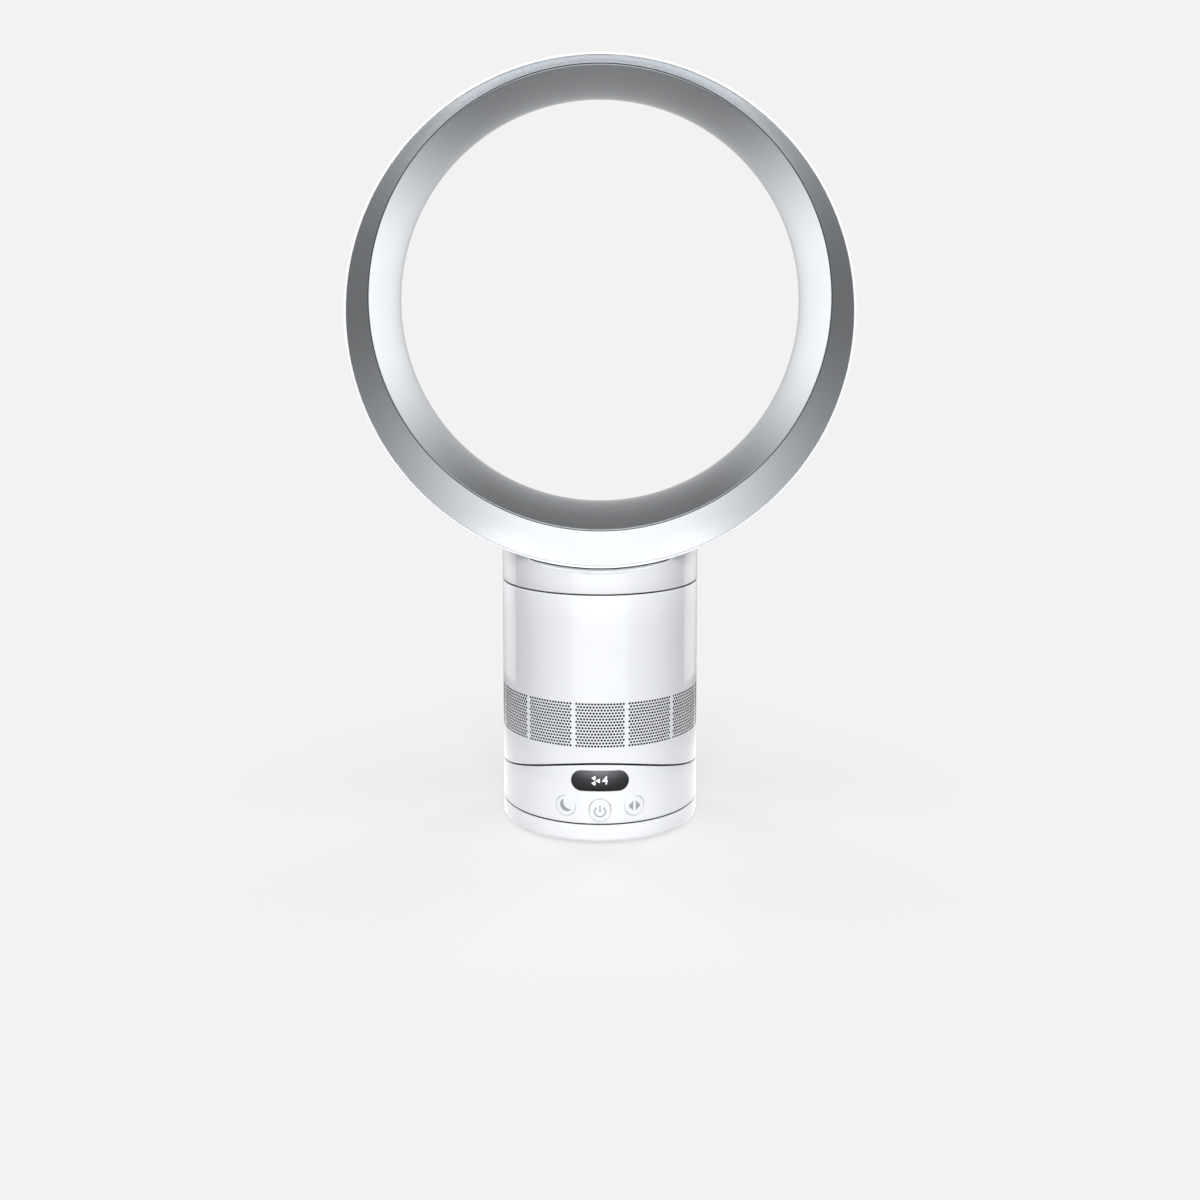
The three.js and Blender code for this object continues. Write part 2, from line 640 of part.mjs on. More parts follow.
// Perforated intake: panels of diamond holes with a blank strip between them.
function grilleHoles() {
  const pitch = (GRILLE_HIGH - GRILLE_LOW) / GRILLE_ROWS;
  const holes = [];
  for (let panel = 0; panel < GRILLE_PANELS; panel++) {
    for (let column = 0; column < GRILLE_COLUMNS; column++) {
      const offset = (column - (GRILLE_COLUMNS - 1) / 2) * GRILLE_COLUMN_DEG;
      const angle = THREE.MathUtils.degToRad((panel * 360) / GRILLE_PANELS + offset);
      const staggered = column % 2;
      for (let row = 0; row < GRILLE_ROWS - staggered; row++) {
        const height = GRILLE_LOW + pitch * (row + (1 + staggered) / 2);
        const profile = [[0, INNER_R - WALL], [GRILLE_HOLE_R, INNER_R - WALL], [GRILLE_HOLE_R, BODY_R + WALL], [0, BODY_R + WALL]];
        holes.push(facing(profile, height, angle, HOLE_SIDES));
      }
    }
  }
  return holes.map(solid);
}

const rib = (low) => [[INNER_R, low], [INNER_R - RIB, low + RIB / 2], [INNER_R - RIB, low + RIB], [INNER_R, low + RIB]];

function mainCasing() {
  const wall = turned([
    [BODY_R, SADDLE_Z - WALL],
    [BODY_R, CASING_TOP],
    [INNER_R, CASING_TOP],
    ...rib(SEAL_RIB_Z - RIB).reverse(),
    ...rib(MOUNT_RIB_Z - RIB).reverse(),
    ...rib(CARRIAGE_TOP + GAP).reverse(),
    [INNER_R, SADDLE_Z - WALL],
  ]);
  return less(solid(wall).intersect(solid(tiltDrum(CARRIAGE_R))), grilleHoles());
}

const intakeFoam = () => {
  const low = CARRIAGE_TOP + GAP + RIB + GAP;
  return tube(INLET_EYE_R, FIT_R, low, low + FOAM_T, CORE_SIDES);
};

// Foam liner that stands on the flat foam, right behind the perforated band.
const intakeLiner = () => {
  const low = CARRIAGE_TOP + GAP + RIB + GAP + FOAM_T + GAP;
  return tube(FIT_R - LINER_T, FIT_R, low, GRILLE_HIGH + LINER_T, CORE_SIDES);
};

// Radius of the housing's inside at a height: a bell mouth, then a cone that follows the impeller, then a drum.
function housingR(z) {
  const share = THREE.MathUtils.clamp((z - HOUSING_LOW) / (IMPELLER_LOW + IMPELLER_H - HOUSING_LOW), 0, 1);
  return INLET_EYE_R + (HOUSING_R - HOUSING_WALL - INLET_EYE_R) * Math.sin((share * Math.PI) / 2);
}

function impellerHousing() {
  const steps = 5;
  const coneTop = IMPELLER_LOW + IMPELLER_H;
  const heights = Array.from({ length: steps + 1 }, (_, i) => HOUSING_LOW + (i / steps) * (coneTop - HOUSING_LOW));
  const inside = heights.map((z) => [housingR(z), z]);
  const outside = heights.map((z) => [housingR(z) + HOUSING_WALL, z]).reverse();
  const profile = [
    [INLET_EYE_R + 2 * HOUSING_WALL, HOUSING_LOW - 2 * HOUSING_WALL],
    ...inside,
    [HOUSING_R - HOUSING_WALL, HOUSING_TOP + HOUSING_WALL],
    [FIT_R, HOUSING_TOP + HOUSING_WALL],
    [FIT_R, HOUSING_TOP],
    [HOUSING_R, HOUSING_TOP],
    ...outside,
  ];
  return turned(profile, CORE_SIDES);
}

const resilientMount = () => tube(HOUSING_R + 1, FIT_R, MOUNT_RIB_Z + GAP, HOUSING_TOP - GAP, CORE_SIDES);

const annularSeal = () => {
  const low = IMPELLER_LOW + IMPELLER_H + SEAL_T;
  return tube(HOUSING_R + GAP, FIT_R, low, low + SEAL_T, CORE_SIDES);
};

// Hub of the impeller: it widens upwards, so that the air turns from upwards to outwards and on.
function hubR(z) {
  const share = THREE.MathUtils.clamp((z - IMPELLER_LOW) / IMPELLER_H, 0, 1);
  return IMPELLER_EYE_R + (IMPELLER_BACK_R - IMPELLER_EYE_R) * (1 - Math.cos((share * Math.PI) / 2));
}

function impeller() {
  const steps = 4;
  const heights = Array.from({ length: steps + 1 }, (_, i) => IMPELLER_LOW + (i / steps) * IMPELLER_H);
  const boreR = SHAFT_R + GAP / 10;
  const hub = turned([[boreR, IMPELLER_LOW], ...heights.map((z) => [hubR(z), z]), [boreR, IMPELLER_LOW + IMPELLER_H]], CORE_SIDES);
  const blades = bladeRow(
    BLADES,
    IMPELLER_LOW,
    IMPELLER_H - 1,
    (z) => hubR(z) - 2,
    (z) => housingR(z) * Math.cos(Math.PI / CORE_SIDES) - TIP_CLEARANCE,
    BLADE_WRAP,
    4,
  );
  return joined([solid(hub), ...blades]);
}

const motorShaft = () => disc(SHAFT_R - GAP, IMPELLER_LOW + 1, BUCKET_TOP - BUCKET_WALL - GAP, SMALL_SIDES);

// The rotor sits on the shaft between the two bearings.
const motorRotor = () => tube(SHAFT_R, ROTOR_R, STATOR_LOW, STATOR_LOW + STATOR_H, SMALL_SIDES);

const motorStator = () => tube(STATOR_BORE_R, STATOR_R, STATOR_LOW, STATOR_LOW + STATOR_H, CORE_SIDES);

const ballBearing = (low) => tube(SHAFT_R + GAP, BALL_BEARING_R, low, low + BALL_BEARING_T, SMALL_SIDES);

const bearingLow = () => BUCKET_LOW + BUCKET_WALL + GAP;
const bearingHigh = () => BUCKET_TOP - BUCKET_WALL - GAP - BALL_BEARING_T;

// Half of the motor bucket: an end wall, a pocket for the bearing, a drum wall and a step that holds the stator.
function bucketHalf(endZ, midZ, shaftHoleR) {
  const up = Math.sign(midZ - endZ);
  const statorEnd = up > 0 ? STATOR_LOW - GAP : STATOR_LOW + STATOR_H + GAP;
  const pocket = endZ + up * (BUCKET_WALL + GAP + BALL_BEARING_T);
  const profile = [
    [shaftHoleR, endZ],
    [BUCKET_R, endZ],
    [BUCKET_R, midZ],
    [STATOR_R + GAP, midZ],
    [STATOR_R + GAP, statorEnd],
    [STATOR_R - BUCKET_WALL, statorEnd],
    [STATOR_R - BUCKET_WALL, endZ + up * BUCKET_WALL],
    [BALL_BEARING_R + GAP + BUCKET_WALL, endZ + up * BUCKET_WALL],
    [BALL_BEARING_R + GAP + BUCKET_WALL, pocket],
    [BALL_BEARING_R + GAP, pocket],
    [BALL_BEARING_R + GAP, endZ + up * BUCKET_WALL],
    [shaftHoleR, endZ + up * BUCKET_WALL],
  ];
  return turned(profile, CORE_SIDES);
}

const bucketMiddle = BUCKET_LOW + BUCKET_H / 2;
const motorBucketLower = () => bucketHalf(BUCKET_LOW, bucketMiddle - GAP / 2, SHAFT_R + 1);
const motorBucketUpper = () => bucketHalf(BUCKET_TOP, bucketMiddle + GAP / 2, SHAFT_R + 1);

// Vanes that straighten the air between motor and housing, on a band round the motor bucket.
function diffuser() {
  const low = BUCKET_LOW + 2;
  const bandR = BUCKET_R + GAP;
  const outer = (HOUSING_R - HOUSING_WALL) * Math.cos(Math.PI / CORE_SIDES) - GAP;
  const band = tube(bandR, bandR + BUCKET_WALL, low, low + DIFFUSER_H, CORE_SIDES);
  const vanes = bladeRow(DIFFUSER_VANES, low, DIFFUSER_H, () => bandR + BUCKET_WALL / 2, () => outer, -BLADE_WRAP / 2, 3);
  return joined([solid(band), ...vanes]);
}

// Fairing that brings the air back together above the motor, with straight vanes on its shoulder.
function flowGuide() {
  const low = BUCKET_TOP + GAP;
  const steps = 4;
  const dome = Array.from({ length: steps + 1 }, (_, i) => {
    const turn = (i / steps) * (Math.PI / 2);
    return [BUCKET_R * Math.cos(turn), low + 2 + (NOSE_H - 2) * Math.sin(turn)];
  });
  dome[steps][0] = 0;
  const body = turned([[0, low], [BUCKET_R, low], ...dome], CORE_SIDES);
  const outer = (HOUSING_R - HOUSING_WALL) * Math.cos(Math.PI / CORE_SIDES) - GAP;
  const vanes = bladeRow(NOSE_VANES, low, 6, () => BUCKET_R / 2, () => outer, 0, 1);
  return joined([solid(body), ...vanes]);
}

const neckSeal = () => tube(INNER_R - RIB, FIT_R, SEAL_RIB_Z + GAP, NECK_LOW - GAP, CORE_SIDES);

// ---- Ring nozzle ----

// The outer wall draws in towards the back along a quarter wave.
const wallR = (y) => {
  const share = THREE.MathUtils.clamp((y - RIM_Y) / (CASING_BACK_Y - RIM_Y), 0, 1);
  return RING_R - TAPER * (1 - Math.cos((share * Math.PI) / 2));
};

const steps = (from, to, count) => Array.from({ length: count + 1 }, (_, i) => from + ((to - from) * i) / count);

function outerWall() {
  const outside = steps(RIM_Y, CASING_BACK_Y, WALL_STEPS).map((y) => [wallR(y), y, RING_Z]);
  const lipEnd = CREASE_Y + RING_WALL;
  const lipR = RING_R - LIP_T;
  const inside = steps(CASING_BACK_Y, lipEnd + RING_WALL, 2).map((y) => [wallR(y) - RING_WALL, y, RING_Z]);
  return eccentricRing([...outside, ...inside, [lipR, lipEnd, RING_Z], [lipR, RIM_Y, RING_Z]]);
}

// The shape that the ring takes out of the neck, grown by an allowance. The neck sinks a little into the outer wall,
// and clears the rear ring.
function ringEnvelope(grow) {
  const sunk = RING_WALL / 4;
  const along = [-2 * BODY_R, ...steps(RIM_Y, CASING_BACK_Y, WALL_STEPS)];
  const profile = [
    ...along.map((y) => [wallR(y) - sunk + grow, y, RING_Z]),
    [BACK_R + GAP + grow, CASING_BACK_Y, RING_Z],
    [BACK_R + GAP + grow, 2 * BODY_R, RING_Z],
  ];
  const axis = [[0, 2 * BODY_R, RING_Z], [0, -2 * BODY_R, RING_Z]];
  return solid(eccentricRing([...profile, ...axis]));
}

// Neck: a collar as wide as the body, closed above by a saddle that follows the ring, with an oval air way.
function neck() {
  const outside = solid(disc(BODY_R, NECK_LOW, RING_Z - RING_R / 2)).subtract(ringEnvelope(0));
  const inside = solid(disc(INNER_R, NECK_LOW - WALL, RING_Z - RING_R / 2)).subtract(ringEnvelope(WALL));
  return outside.subtract(inside);
}

function airPassage() {
  const oval = new THREE.Shape().absellipse(
    0,
    (PASSAGE_BACK - PASSAGE_FRONT) / 2,
    PASSAGE_X,
    (PASSAGE_BACK + PASSAGE_FRONT) / 2,
    0,
    2 * Math.PI,
  );
  const height = RING_R - Math.sqrt(RING_R ** 2 - PASSAGE_X ** 2) + TAPER + 4 * WALL;
  return new THREE.ExtrudeGeometry(oval, { depth: height, bevelEnabled: false, curveSegments: 16 }).translate(
    0,
    0,
    RING_Z - RING_R - 2 * WALL,
  );
}

const nozzleOuterCasing = () => solid(outerWall()).add(neck()).subtract(solid(airPassage()));

// Radius of the bore's surface: least at the throat, it rises back to the slot and flares forward to the crease.
function boreR(y) {
  if (y > THROAT_Y) return THROAT_R + NOSE_RISE * ((y - THROAT_Y) / (SLOT_Y - THROAT_Y)) ** 2;
  return THROAT_R + (CREASE_R - THROAT_R) * ((THROAT_Y - y) / (THROAT_Y - CREASE_Y)) ** 1.4;
}

const innerBackY = () => SLOT_Y + SLOT_OVERLAP;

function nozzleInnerCasing() {
  const skin = [...steps(innerBackY(), THROAT_Y, 2), ...steps(THROAT_Y, CREASE_Y, 4).slice(1)];
  const back = [...steps(CREASE_Y, THROAT_Y, 2), innerBackY()];
  const shell = eccentricRing([
    ...skin.map((y) => [boreR(y), y, BORE_Z]),
    ...back.map((y) => [boreR(y) + RING_WALL, y, BORE_Z]),
  ]);
  const depth = SLOT / 3;
  const spacers = Array.from({ length: SLOT_SPACERS }, (_, i) => {
    const turn = ((i + 0.5) * 2 * Math.PI) / SLOT_SPACERS;
    const block = new THREE.BoxGeometry(SLOT_OVERLAP, SLOT_OVERLAP, depth + RING_WALL);
    return block.translate(0, SLOT_Y + SLOT_OVERLAP / 2, boreR(SLOT_Y) + (RING_WALL - depth) / 2).rotateY(turn).translate(0, 0, BORE_Z);
  });
  return joined([solid(shell), ...spacers.map(solid)]);
}

// Front guide: a cone from the crease out to the white lip. It seats on both casings.
function frontGuideRing() {
  const outerR = RING_R - LIP_T - GAP;
  const seat = CREASE_Y - GAP;
  return eccentricRing([
    [CREASE_R, seat, BORE_Z],
    [outerR, RIM_Y - GAP, RING_Z],
    [outerR, RIM_Y - GAP + RING_WALL, RING_Z],
    [CREASE_R + RING_WALL, seat, BORE_Z],
  ]);
}

// Rear ring: it carries the outer wall round to the slot. Its lip lies inside the inner casing. Each point has its share
// of the way in to the lip, its share of the ring's depth, and its share of the bore's lift.
function rearCasingRing() {
  const lipR = boreR(SLOT_Y) - SLOT;
  const start = CASING_BACK_Y + GAP;
  const band = BACK_R - lipR;
  const depth = REAR_Y - start;
  const at = (inward, back, lift) => [BACK_R - inward * band, start + back * depth, lift];
  const outside = [
    at(0, 0, 0),
    at(0.2, 0.55, 0.1),
    at(0.56, 0.9, 0.4),
    at(0.75, 1, 0.8),
    [lipR + RING_WALL / 2, start + 0.85 * depth, 1],
    [lipR - RING_WALL / 2, SLOT_Y, 1],
  ];
  const inside = [
    [lipR, SLOT_Y, 1],
    [lipR + RING_WALL, start + 0.75 * depth, 1],
    at(0.64, 0.72, 0.4),
    [BACK_R - RING_WALL, start, 0],
  ];
  return eccentricRing([...outside, ...inside].map(([r, y, lift]) => [r, y, RING_Z + lift * BORE_LIFT]));
}

// ---- The fan ----

const fan = new THREE.Group();
fan.add(
  piece("foot_shell", footShell(), white),
  piece("foot_pad_ring", footPadRing(), rubber),
  piece("ballast_plate", ballastPlate(), steel),
  piece("bearing_ring", bearingRing(), nylon),
  piece("swing_gear", swingGear(), nylon),
  piece("inlet_socket", inletSocket(), black),

  piece("control_shell", controlShell(), white),
  piece("control_floor", controlFloor(), darkNylon),
  piece("swing_motor", swingMotor(), steel),
  piece("swing_pinion", swingPinion(), nylon),
  piece("control_board", controlBoard(), board),
  piece("display_module", displayModule(), black),
  piece("display_lens", displayLens(), black),
  piece("power_dish", powerDish(), white),
  piece("power_button", powerButton(), white),
  ...Object.keys(sideAngles).map((name) => piece(name, sideButton(name), white)),
  piece("tilt_cradle", tiltCradle(), darkNylon),
  piece("friction_pad_left", frictionPad(-1), nylon),
  piece("friction_pad_right", frictionPad(1), nylon),

  piece("tilt_carriage", tiltCarriage(), darkNylon),
  piece("main_board", mainBoard(), board),
  piece("main_casing", mainCasing(), white),
  piece("intake_foam", intakeFoam(), foam),
  piece("intake_liner", intakeLiner(), foam),
  piece("impeller_housing", impellerHousing(), darkNylon),
  piece("resilient_mount", resilientMount(), rubber),
  piece("annular_seal", annularSeal(), rubber),
  piece("impeller", impeller(), darkNylon),
  piece("motor_shaft", motorShaft(), steel),
  piece("motor_rotor", motorRotor(), steel),
  piece("motor_stator", motorStator(), copper),
  piece("bearing_lower", ballBearing(bearingLow()), steel),
  piece("bearing_upper", ballBearing(bearingHigh()), steel),
  piece("motor_bucket_lower", motorBucketLower(), darkNylon),
  piece("motor_bucket_upper", motorBucketUpper(), darkNylon),
  piece("diffuser", diffuser(), darkNylon),
  piece("flow_guide", flowGuide(), darkNylon),
  piece("neck_seal", neckSeal(), rubber),

  piece("nozzle_outer_casing", nozzleOuterCasing(), white),
  piece("nozzle_inner_casing", nozzleInnerCasing(), silver),
  piece("front_guide_ring", frontGuideRing(), silver),
  piece("rear_casing_ring", rearCasingRing(), white),
);

export default fan;
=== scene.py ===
"""Looks for a bladeless desk fan. It is laid out as a Blender add-on and run as a script.

Everything is in metres, with +Z up and the front of the fan facing -Y.
"""

import json
import math

import bpy
from bpy.props import FloatProperty, FloatVectorProperty, IntProperty, PointerProperty
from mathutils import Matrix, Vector


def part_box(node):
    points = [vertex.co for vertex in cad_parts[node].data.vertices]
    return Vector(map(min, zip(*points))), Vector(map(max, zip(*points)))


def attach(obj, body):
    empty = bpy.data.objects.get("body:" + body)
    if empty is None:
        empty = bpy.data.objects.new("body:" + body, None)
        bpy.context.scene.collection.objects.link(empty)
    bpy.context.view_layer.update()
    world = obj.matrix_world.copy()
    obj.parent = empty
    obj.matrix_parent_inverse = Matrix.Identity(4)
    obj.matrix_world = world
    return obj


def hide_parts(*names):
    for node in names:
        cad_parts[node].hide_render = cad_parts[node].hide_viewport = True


bl_info = {
    "name": "Bladeless desk fan",
    "version": (1, 0, 0),
    "blender": (4, 5, 0),
    "location": "3D View > Sidebar > Fan",
    "description": "Models and finishes a ring nozzle fan on a round motor body",
    "category": "Object",
}

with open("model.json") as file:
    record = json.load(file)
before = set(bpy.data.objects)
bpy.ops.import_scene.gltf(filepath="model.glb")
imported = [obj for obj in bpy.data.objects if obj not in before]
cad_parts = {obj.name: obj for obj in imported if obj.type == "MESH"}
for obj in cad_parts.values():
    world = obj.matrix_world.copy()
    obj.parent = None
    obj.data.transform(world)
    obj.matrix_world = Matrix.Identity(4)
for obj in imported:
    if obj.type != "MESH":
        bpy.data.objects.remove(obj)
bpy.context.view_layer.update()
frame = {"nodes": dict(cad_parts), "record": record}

MM = 0.001
BODY_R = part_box("foot_shell")[1].x
SADDLE_Z = 0.044  # lowest point of the saddle that the head tilts on
SADDLE_R = 0.182  # its radius about the tilt axis
SEAM = 0.001
FOOT_TOP = 0.0142
CONTROL_LOW = 0.0152
CASING_LOW = 0.050  # where the casing's sheet ends before its edge is lifted onto the saddle
CASING_TOP = 0.1806
COLLAR_LOW = 0.1816
WELD = 2e-5  # vertices of the perforated sheet that are nearer than this are the same


def srgb(value):
    """A colour written as a hex string, as linear red, green, blue and alpha."""
    parts = [int(value[i : i + 2], 16) / 255 for i in (0, 2, 4)]
    return tuple(c / 12.92 if c <= 0.04045 else ((c + 0.055) / 1.055) ** 2.4 for c in parts) + (1.0,)


# ---- Sizes and colours that a user would change ----


class BodySizes(bpy.types.PropertyGroup):
    """Sizes of the round body."""

    radius: FloatProperty(
        name="Radius",
        description="Outside of foot, control section and casing",
        default=BODY_R,
        unit="LENGTH",
    )
    wall: FloatProperty(name="Wall", description="Moulded wall", default=0.0024, unit="LENGTH")
    edge: FloatProperty(
        name="Edge", description="Rounding of the edges along the seams", default=0.0007, unit="LENGTH"
    )
    foot_edge: FloatProperty(
        name="Foot edge", description="Rounding of the foot's lower edge", default=0.003, unit="LENGTH"
    )
    sides: IntProperty(name="Sides", description="Facets round the body", default=192, min=24)


class IntakeSizes(bpy.types.PropertyGroup):
    """Sizes of the perforated intake."""

    hole: FloatProperty(name="Hole", description="Diameter of one hole", default=0.0017, unit="LENGTH")
    panels: IntProperty(name="Panels", description="Perforated panels round the casing", default=12)
    columns: IntProperty(name="Columns", description="Holes in a full row of one panel", default=16)
    full_rows: IntProperty(
        name="Full rows", description="Rows with every hole; a shorter row lies between two of them", default=8
    )
    pitch: FloatProperty(
        name="Pitch", description="Angle from hole to hole", default=math.radians(1.77), subtype="ANGLE"
    )
    row_pitch: FloatProperty(
        name="Row pitch", description="Height from row to row", default=0.00218, unit="LENGTH"
    )
    lowest: FloatProperty(
        name="Lowest", description="Height of the lowest row's middle", default=0.0721, unit="LENGTH"
    )


class ControlSizes(bpy.types.PropertyGroup):
    """Sizes of the display and the buttons."""

    display_height: FloatProperty(
        name="Display height", description="Height of the display's middle", default=0.0468, unit="LENGTH"
    )
    display_width: FloatProperty(
        name="Display width", description="Length of the pill-shaped window", default=0.0414, unit="LENGTH"
    )
    display_tall: FloatProperty(
        name="Display tall", description="Height of the window itself", default=0.0154, unit="LENGTH"
    )
    power_height: FloatProperty(
        name="Power height", description="Height of the power button's middle", default=0.0254, unit="LENGTH"
    )
    power_radius: FloatProperty(
        name="Power radius", description="Radius of the power button", default=0.0078, unit="LENGTH"
    )
    dish_radius: FloatProperty(
        name="Dish radius",
        description="Radius of the dish round the power button",
        default=0.0097,
        unit="LENGTH",
    )
    side_height: FloatProperty(
        name="Side height", description="Height of the side buttons' middles", default=0.0275, unit="LENGTH"
    )
    side_angle: FloatProperty(
        name="Side angle",
        description="Angle of the side buttons from the front",
        default=math.radians(19.7),
        subtype="ANGLE",
    )
    side_radius: FloatProperty(
        name="Side radius", description="Radius of a side button", default=0.0073, unit="LENGTH"
    )
    gap: FloatProperty(name="Gap", description="Open line round a button", default=0.0003, unit="LENGTH")


class NozzleSizes(bpy.types.PropertyGroup):
    """Sizes of the ring nozzle."""

    ring_height: FloatProperty(
        name="Ring height", description="Height of the outer circle's centre", default=0.376, unit="LENGTH"
    )
    ring_radius: FloatProperty(
        name="Ring radius", description="Radius at the front rim", default=0.179, unit="LENGTH"
    )
    bore_lift: FloatProperty(
        name="Bore lift", description="How much higher the bore's centre is", default=0.009, unit="LENGTH"
    )
    crease_radius: FloatProperty(
        name="Crease radius", description="Where the front guide meets the bore", default=0.163, unit="LENGTH"
    )
    throat_radius: FloatProperty(
        name="Throat radius", description="Narrowest radius of the bore", default=0.149, unit="LENGTH"
    )
    rim: FloatProperty(name="Rim", description="Depth of the front rim", default=-0.055, unit="LENGTH")
    crease: FloatProperty(name="Crease", description="Depth of the crease", default=-0.040, unit="LENGTH")
    crease_lean: FloatProperty(
        name="Crease lean",
        description="How much further forward the crease is at the top",
        default=0.0085,
        unit="LENGTH",
    )
    throat: FloatProperty(name="Throat", description="Depth of the throat", default=0.018, unit="LENGTH")
    back: FloatProperty(
        name="Back", description="Where the outer wall meets the rear ring", default=0.032, unit="LENGTH"
    )
    slot: FloatProperty(name="Slot", description="Depth of the air slot's lip", default=0.033, unit="LENGTH")
    sides: IntProperty(name="Sides", description="Facets round the ring", default=288, min=48)


class FinishColours(bpy.types.PropertyGroup):
    """Colours of the finishes that show."""

    white: FloatVectorProperty(
        name="White", description="Moulded white", subtype="COLOR", default=srgb("F2F4F8")[:3]
    )
    silver: FloatVectorProperty(
        name="Silver", description="Silver paint", subtype="COLOR", default=srgb("DADEE2")[:3]
    )
    ink: FloatVectorProperty(
        name="Ink", description="Printed symbols", subtype="COLOR", default=srgb("A0A3A8")[:3]
    )


class StudioSettings(bpy.types.PropertyGroup):
    """The camera, the lamps and the backdrop."""

    lens: FloatProperty(name="Lens", description="Focal length in millimetres", default=42.0)
    shift: FloatProperty(name="Shift", description="Vertical shift of the lens", default=-0.1043)
    pitch: FloatProperty(
        name="Pitch", description="How far the camera looks down", default=math.radians(6.5), subtype="ANGLE"
    )
    distance: FloatProperty(
        name="Distance", description="From the camera to the fan's axis", default=1.0377, unit="LENGTH"
    )
    height: FloatProperty(name="Height", description="Height of the camera", default=0.376, unit="LENGTH")
    key: FloatProperty(name="Key", description="Power of the front lamp", default=44.0, unit="POWER")
    edge: FloatProperty(
        name="Edge", description="Power of each lamp behind the fan", default=22.0, unit="POWER"
    )
    top: FloatProperty(name="Top", description="Power of the lamp overhead", default=9.0, unit="POWER")
    fill: FloatProperty(name="Fill", description="Level of the light from all round", default=0.08)
    backdrop: FloatVectorProperty(
        name="Backdrop", description="Tone of the page behind", subtype="COLOR", default=(0.888, 0.888, 0.888)
    )


# ---- Materials ----


def add_node(tree, kind, settings=None, links=None):
    """Adds a node. Settings name a socket or a property; links name a socket and the output that feeds it."""
    node = tree.nodes.new(kind)
    for key, value in (settings or {}).items():
        if isinstance(key, int) or key in node.inputs:
            node.inputs[key].default_value = value
        else:
            setattr(node, key, value)
    for key, output in (links or {}).items():
        tree.links.new(output, node.inputs[key])
    return node


def new_material(name, colour, roughness, settings=None):
    """A material with one Principled shader, returned with its tree, shader and object coordinates."""
    material = bpy.data.materials.new(name)
    material.use_nodes = True
    tree = material.node_tree
    shader = tree.nodes["Principled BSDF"]
    shader.inputs["Base Color"].default_value = colour
    shader.inputs["Roughness"].default_value = roughness
    for key, value in (settings or {}).items():
        shader.inputs[key].default_value = value
    place = add_node(tree, "ShaderNodeTexCoord").outputs["Object"]
    return material, tree, shader, place


def shade(colour, share):
    """A colour made darker or lighter by a share, with alpha."""
    return tuple(min(part * share, 1.0) for part in colour[:3]) + (1.0,)


def mottle(tree, shader, place, low, high, scale, detail=2.0):
    """Varies the shader's colour between two tones with a soft noise."""
    noise = add_node(tree, "ShaderNodeTexNoise", {"Scale": scale, "Detail": detail}, {"Vector": place})
    ramp = add_node(tree, "ShaderNodeValToRGB", None, {"Fac": noise.outputs["Fac"]})
    ramp.color_ramp.elements[0].position = 0.3
    ramp.color_ramp.elements[0].color = low
    ramp.color_ramp.elements[1].position = 0.7
    ramp.color_ramp.elements[1].color = high
    tree.links.new(ramp.outputs["Color"], shader.inputs["Base Color"])
    return noise


def bump(tree, shader, height, strength, distance):
    """Adds a bump from a height to the shader."""
    node = add_node(tree, "ShaderNodeBump", {"Strength": strength, "Distance": distance}, {"Height": height})
    tree.links.new(node.outputs["Normal"], shader.inputs["Normal"])


def vary_roughness(tree, shader, pattern, low, high):
    """Varies the shader's roughness between two values with a pattern."""
    level = add_node(tree, "ShaderNodeMapRange", {"To Min": low, "To Max": high}, {"Value": pattern})
    tree.links.new(level.outputs["Result"], shader.inputs["Roughness"])


def white_abs():
    """Glossy white ABS from a polished mould: a clean coat over a cool white whose sheen varies a little."""
    white = bpy.context.scene.fan_finish.white
    material, tree, shader, place = new_material(
        "glossy_white_abs", shade(white, 1), 0.32, {"IOR": 1.5, "Coat Weight": 1.0, "Coat Roughness": 0.03}
    )
    mottle(tree, shader, place, shade(white, 0.985), shade(white, 1.015), 18.0)
    sheen = add_node(tree, "ShaderNodeTexNoise", {"Scale": 60.0, "Detail": 2.0}, {"Vector": place})
    vary_roughness(tree, shader, sheen.outputs["Fac"], 0.28, 0.38)
    return material


def painted_shade_lining():
    """Painted shade: a matte dark grey with a fine spark-eroded grain, laid on the white casing's inside and
    hole walls so that the holes look dark.
    """
    material, tree, shader, place = new_material("matte_dark_painted_shade_lining", srgb("17181A"), 0.6)
    grain = mottle(tree, shader, place, srgb("131416"), srgb("1D1E20"), 1400.0, 3.0)
    bump(tree, shader, grain.outputs["Fac"], 0.1, 0.00005)
    return material


def silver_paint():
    """Silver metallic paint on ABS: bright aluminium flakes under a clear coat, so reflections are soft."""
    silver = bpy.context.scene.fan_finish.silver
    paint = {"Metallic": 1.0, "Coat Weight": 0.2, "Coat Roughness": 0.1}
    material, tree, shader, place = new_material("silver_metallic_paint", shade(silver, 1), 0.22, paint)
    # Real flakes are about 0.03 mm, too fine to show, so they are drawn 0.5 mm across.
    flakes = add_node(tree, "ShaderNodeTexVoronoi", {"Scale": 2000.0}, {"Vector": place})
    tone = add_node(tree, "ShaderNodeMix", {"data_type": "RGBA", "Factor": 0.035})
    tone.inputs["A"].default_value = shade(silver, 1)
    tree.links.new(flakes.outputs["Color"], tone.inputs["B"])
    tree.links.new(tone.outputs["Result"], shader.inputs["Base Color"])
    return material


